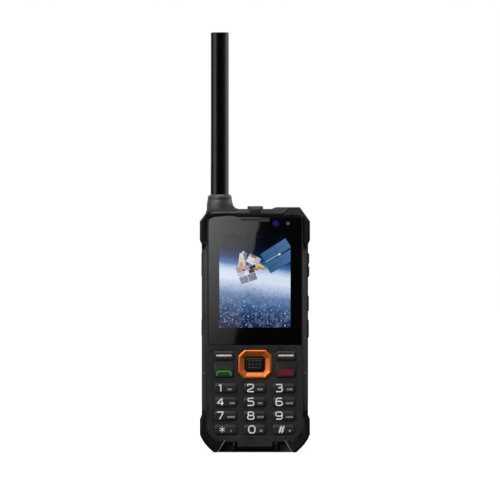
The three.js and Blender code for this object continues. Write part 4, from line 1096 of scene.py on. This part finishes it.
def back_inlays():
    """Rubber grip strips in the grooves of the battery door, and dark rubber sheets in the speaker slots;
    both darken the grooves and slots as painted shade.
    """
    door_y = span("battery_door")[1].y
    wall_y = span("rear_housing")[1].y

    def strips(bm):
        for k in range(GRIP["count"]):
            z = GRIP["first"] + k * GRIP["pitch"]
            for shrink, back, face in GRIP_LAYERS:
                height = GRIP["height"] - shrink
                corners = rectangle_corners(0, z, GRIP["width"] - shrink, height)
                slab(bm, corners, height / 2 - 0.05, 6, door_y - back, door_y - face)

    # Painted shade: dark sheets just inside the speaker slots.
    def slot_shades(bm):
        for k in range(SPEAKER["count"]):
            x = (k - (SPEAKER["count"] - 1) / 2) * SPEAKER["pitch"]
            corners = rectangle_corners(x, SPEAKER["z"], SPEAKER["width"], SPEAKER["height"])
            slab(bm, corners, 0.3, 3, wall_y - SPEAKER["back"], wall_y - SPEAKER["face"])

    new_object("door_grips", strips, RUBBER, "battery_door_body")
    new_object("speaker_slot_shades", slot_shades, RUBBER, "handset")


def side_nubs():
    """Small round stud on each side bevel of the front housing, light gray as a painted highlight."""
    half = span("front_housing")[1].x
    profile = [(0.42, CASE_FACE_Y + 2.2), (0.42, CASE_FACE_Y + 0.85), (0.3, CASE_FACE_Y + 0.68),
               (0.1, CASE_FACE_Y + 0.62)]
    for side, end in SIDES:
        centre = (side * (half - NUB_INSET), NUB_HEIGHT)
        new_object("side_nub_" + end, lambda bm: lathe_in_depth(bm, profile, centre, 16), LIP_HIGHLIGHT, "handset")


# ---- studio
LENS_NODES = ("cover_lens", "front_camera", "sensor_window")
STUDIO_CENTRE = Vector((0, 0, 0.11))
SHOT_WIDTH = 0.25785
SHOT_LENS = 500
SENSOR = 36
SHOT_DISTANCE = SHOT_WIDTH * SHOT_LENS / SENSOR
SHOT_CENTRE = Vector((-0.00253, KEY_FACE_Y * MM, 0.1044))
# Glow of the room towards -Y, at the first depth and below, and at the second and above.
ROOM_DEPTHS = (-0.96, -0.6)
ROOM_GLOWS = (0.012, 0.13)
# Glare on the lens: the ends of its slanted edge, its panel's size and distance before the phone, then the
# box that its glow fades across and the glow at that box's sides.
GLARE_EDGE = ((2.3, 118.8), (-11.0, 55.5))
GLARE_SIZE = (0.5, 0.6)
GLARE_DEPTH = 0.5
GLARE = {"left": -24, "right": 1, "low": 58, "high": 120, "dim": 0.46, "bright": 2.2, "fade": 0.5}


def softbox(name, azimuth, elevation, distance, size, radiance):
    """Soft panel of even glow that faces the phone. Azimuth 0 is before the keypad, 90 is to its right."""
    a, e = math.radians(azimuth), math.radians(elevation)
    direction = Vector((math.sin(a) * math.cos(e), -math.cos(a) * math.cos(e), math.sin(e)))
    place = STUDIO_CENTRE + direction * distance
    return panel_light(name, place, direction.to_track_quat("Z", "Y"), size, radiance)


def panel_light(name, place, rotation, size, radiance):
    data = bpy.data.lights.new(name, "AREA")
    data.shape = "RECTANGLE"
    data.size, data.size_y = size
    data.energy = 4 * size[0] * size[1] * radiance
    obj = bpy.data.objects.new(name, data)
    bpy.context.scene.collection.objects.link(obj)
    obj.location = place
    obj.rotation_mode = "QUATERNION"
    obj.rotation_quaternion = rotation
    obj.visible_camera = False
    return obj


def mirrored(x, z, depth):
    """The point, depth metres before the phone, that the camera sees mirrored at (x, z) on the lens."""
    spread = (depth + SHOT_CENTRE.y) / SHOT_DISTANCE
    here = Vector((x * MM, 0, z * MM))
    there = here + (here - SHOT_CENTRE) * spread
    there.y = -depth
    return there


def lens_reflection():
    """A panel that only the cover lens and its eyes reflect: a slanted glare that fades down and right."""
    top, low = [mirrored(x, z, GLARE_DEPTH) for x, z in GLARE_EDGE]
    lean = (top - low).normalized()
    across = Vector((lean.z, 0, -lean.x))
    turn = Vector((0, 0, 1)).rotation_difference(lean)
    facing = Vector((0, -1, 0)).to_track_quat("Z", "Y")
    place = (top + low) / 2 - across * GLARE_SIZE[0] / 2
    obj = panel_light("lens_glare", place, turn @ facing, GLARE_SIZE, 1.0)
    start = mirrored(GLARE["left"], GLARE["low"], GLARE_DEPTH)
    end = mirrored(GLARE["right"], GLARE["high"], GLARE_DEPTH)
    g = Nodes(obj.data)
    spot = g.add("ShaderNodeSeparateXYZ", {0: g.add("ShaderNodeNewGeometry").outputs["Position"]}).outputs
    fade = g.remap(spot["X"], start.x, end.x, 1.0, GLARE["fade"])
    rise = g.remap(spot["Z"], start.z, end.z, GLARE["dim"], GLARE["bright"])
    glow = g.add("ShaderNodeEmission", {"Color": gray(1), "Strength": g.times(fade, rise)})
    g.add("ShaderNodeOutputLight", {"Surface": glow.outputs[0]})
    receivers = bpy.data.collections.new("glare_receivers")
    for node in LENS_NODES:
        receivers.objects.link(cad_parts[node])
    obj.light_linking.receiver_collection = receivers


def spare_glossy_parts(light):
    """Keeps a light off the cover lens and the antenna, which would mirror it."""
    spared = bpy.data.collections.new(light.name + "_spared")
    for obj in [*(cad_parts[node] for node in LENS_NODES), bpy.data.objects["antenna_rod"]]:
        spared.objects.link(obj)
    for entry in spared.collection_objects:
        entry.light_linking.link_state = "EXCLUDE"
    light.light_linking.receiver_collection = spared


def surroundings():
    """White to the camera. To light and reflections it is a dim room, darkest before the keypad."""
    world = bpy.data.worlds.new("studio_world")
    g = Nodes(world)
    direction = g.add("ShaderNodeTexCoord").outputs["Generated"]
    depth = g.add("ShaderNodeSeparateXYZ", {0: direction}).outputs["Y"]
    glow = g.remap(depth, *ROOM_DEPTHS, *ROOM_GLOWS)
    room = g.add("ShaderNodeBackground", {"Color": gray(1), "Strength": glow}).outputs[0]
    white = g.add("ShaderNodeBackground", {"Color": gray(1), "Strength": 1.0}).outputs[0]
    seen = g.add("ShaderNodeLightPath").outputs["Is Camera Ray"]
    g.add("ShaderNodeOutputWorld", {"Surface": g.blend_shaders(seen, room, white)})
    bpy.context.scene.world = world


def floor():
    """Plain pale floor: near white to the camera with a soft contact shadow, dark to reflections."""
    g = Graph("pale_floor")
    rays = g.add("ShaderNodeLightPath").outputs["Is Camera Ray"]
    speckle = g.mix(g.noise(3, 2), gray(0.34), gray(0.36))
    matt = g.add("ShaderNodeBsdfDiffuse", {"Color": speckle}).outputs[0]
    far = g.add("ShaderNodeVectorMath", {0: g.position}, operation="LENGTH").outputs["Value"]
    glow = g.remap(far, 60, 500, 0.8, 1.0)
    lift = g.add("ShaderNodeEmission", {"Color": gray(1), "Strength": glow}).outputs[0]
    seen = g.add("ShaderNodeAddShader", {0: matt, 1: lift}).outputs[0]
    dim = g.add("ShaderNodeBsdfDiffuse", {"Color": gray(0.06)}).outputs[0]
    material = g.finish(g.blend_shaders(rays, dim, seen))
    mesh = bpy.data.meshes.new("floor")
    half = 8.0
    corners = [(x, y, 0) for x, y in frame_corners(-half, half, -half, half)]
    mesh.from_pydata(corners, [], [(0, 1, 2, 3)])
    mesh.materials.append(material)
    obj = bpy.data.objects.new("floor", mesh)
    bpy.context.scene.collection.objects.link(obj)
    obj.location.z = -0.0002


def camera():
    data = bpy.data.cameras.new("camera")
    data.lens = SHOT_LENS
    data.sensor_width = SENSOR
    obj = bpy.data.objects.new("camera", data)
    bpy.context.scene.collection.objects.link(obj)
    obj.location = SHOT_CENTRE - Vector((0, SHOT_DISTANCE, 0))
    obj.rotation_euler = (math.radians(90), 0, 0)
    bpy.context.scene.camera = obj


def studio():
    surroundings()
    floor()
    camera()
    softbox("left_box", -67, 8, 0.9, (0.7, 1.1), 0.86)
    softbox("right_box", 112, 8, 0.9, (1.4, 1.1), 0.88)
    softbox("top_box", 0, 80, 0.9, (0.9, 0.5), 2.4)
    softbox("back_box", 200, 25, 1.0, (0.8, 0.8), 1.2)
    spare_glossy_parts(softbox("front_box", -32, 28, 0.9, (0.55, 0.55), 2.9))
    lens_reflection()
    bpy.context.scene.view_settings.view_transform = "Standard"


# ---- put together
dress_cad_nodes()
number_keys()
soft_keys()
call_keys()
nav_ring()
ok_key()
antenna()
torch()
screws()
seam_trims()
keypad_bead()
earpiece_rim()
back_inlays()
side_nubs()
studio()

bpy.context.view_layer.update()
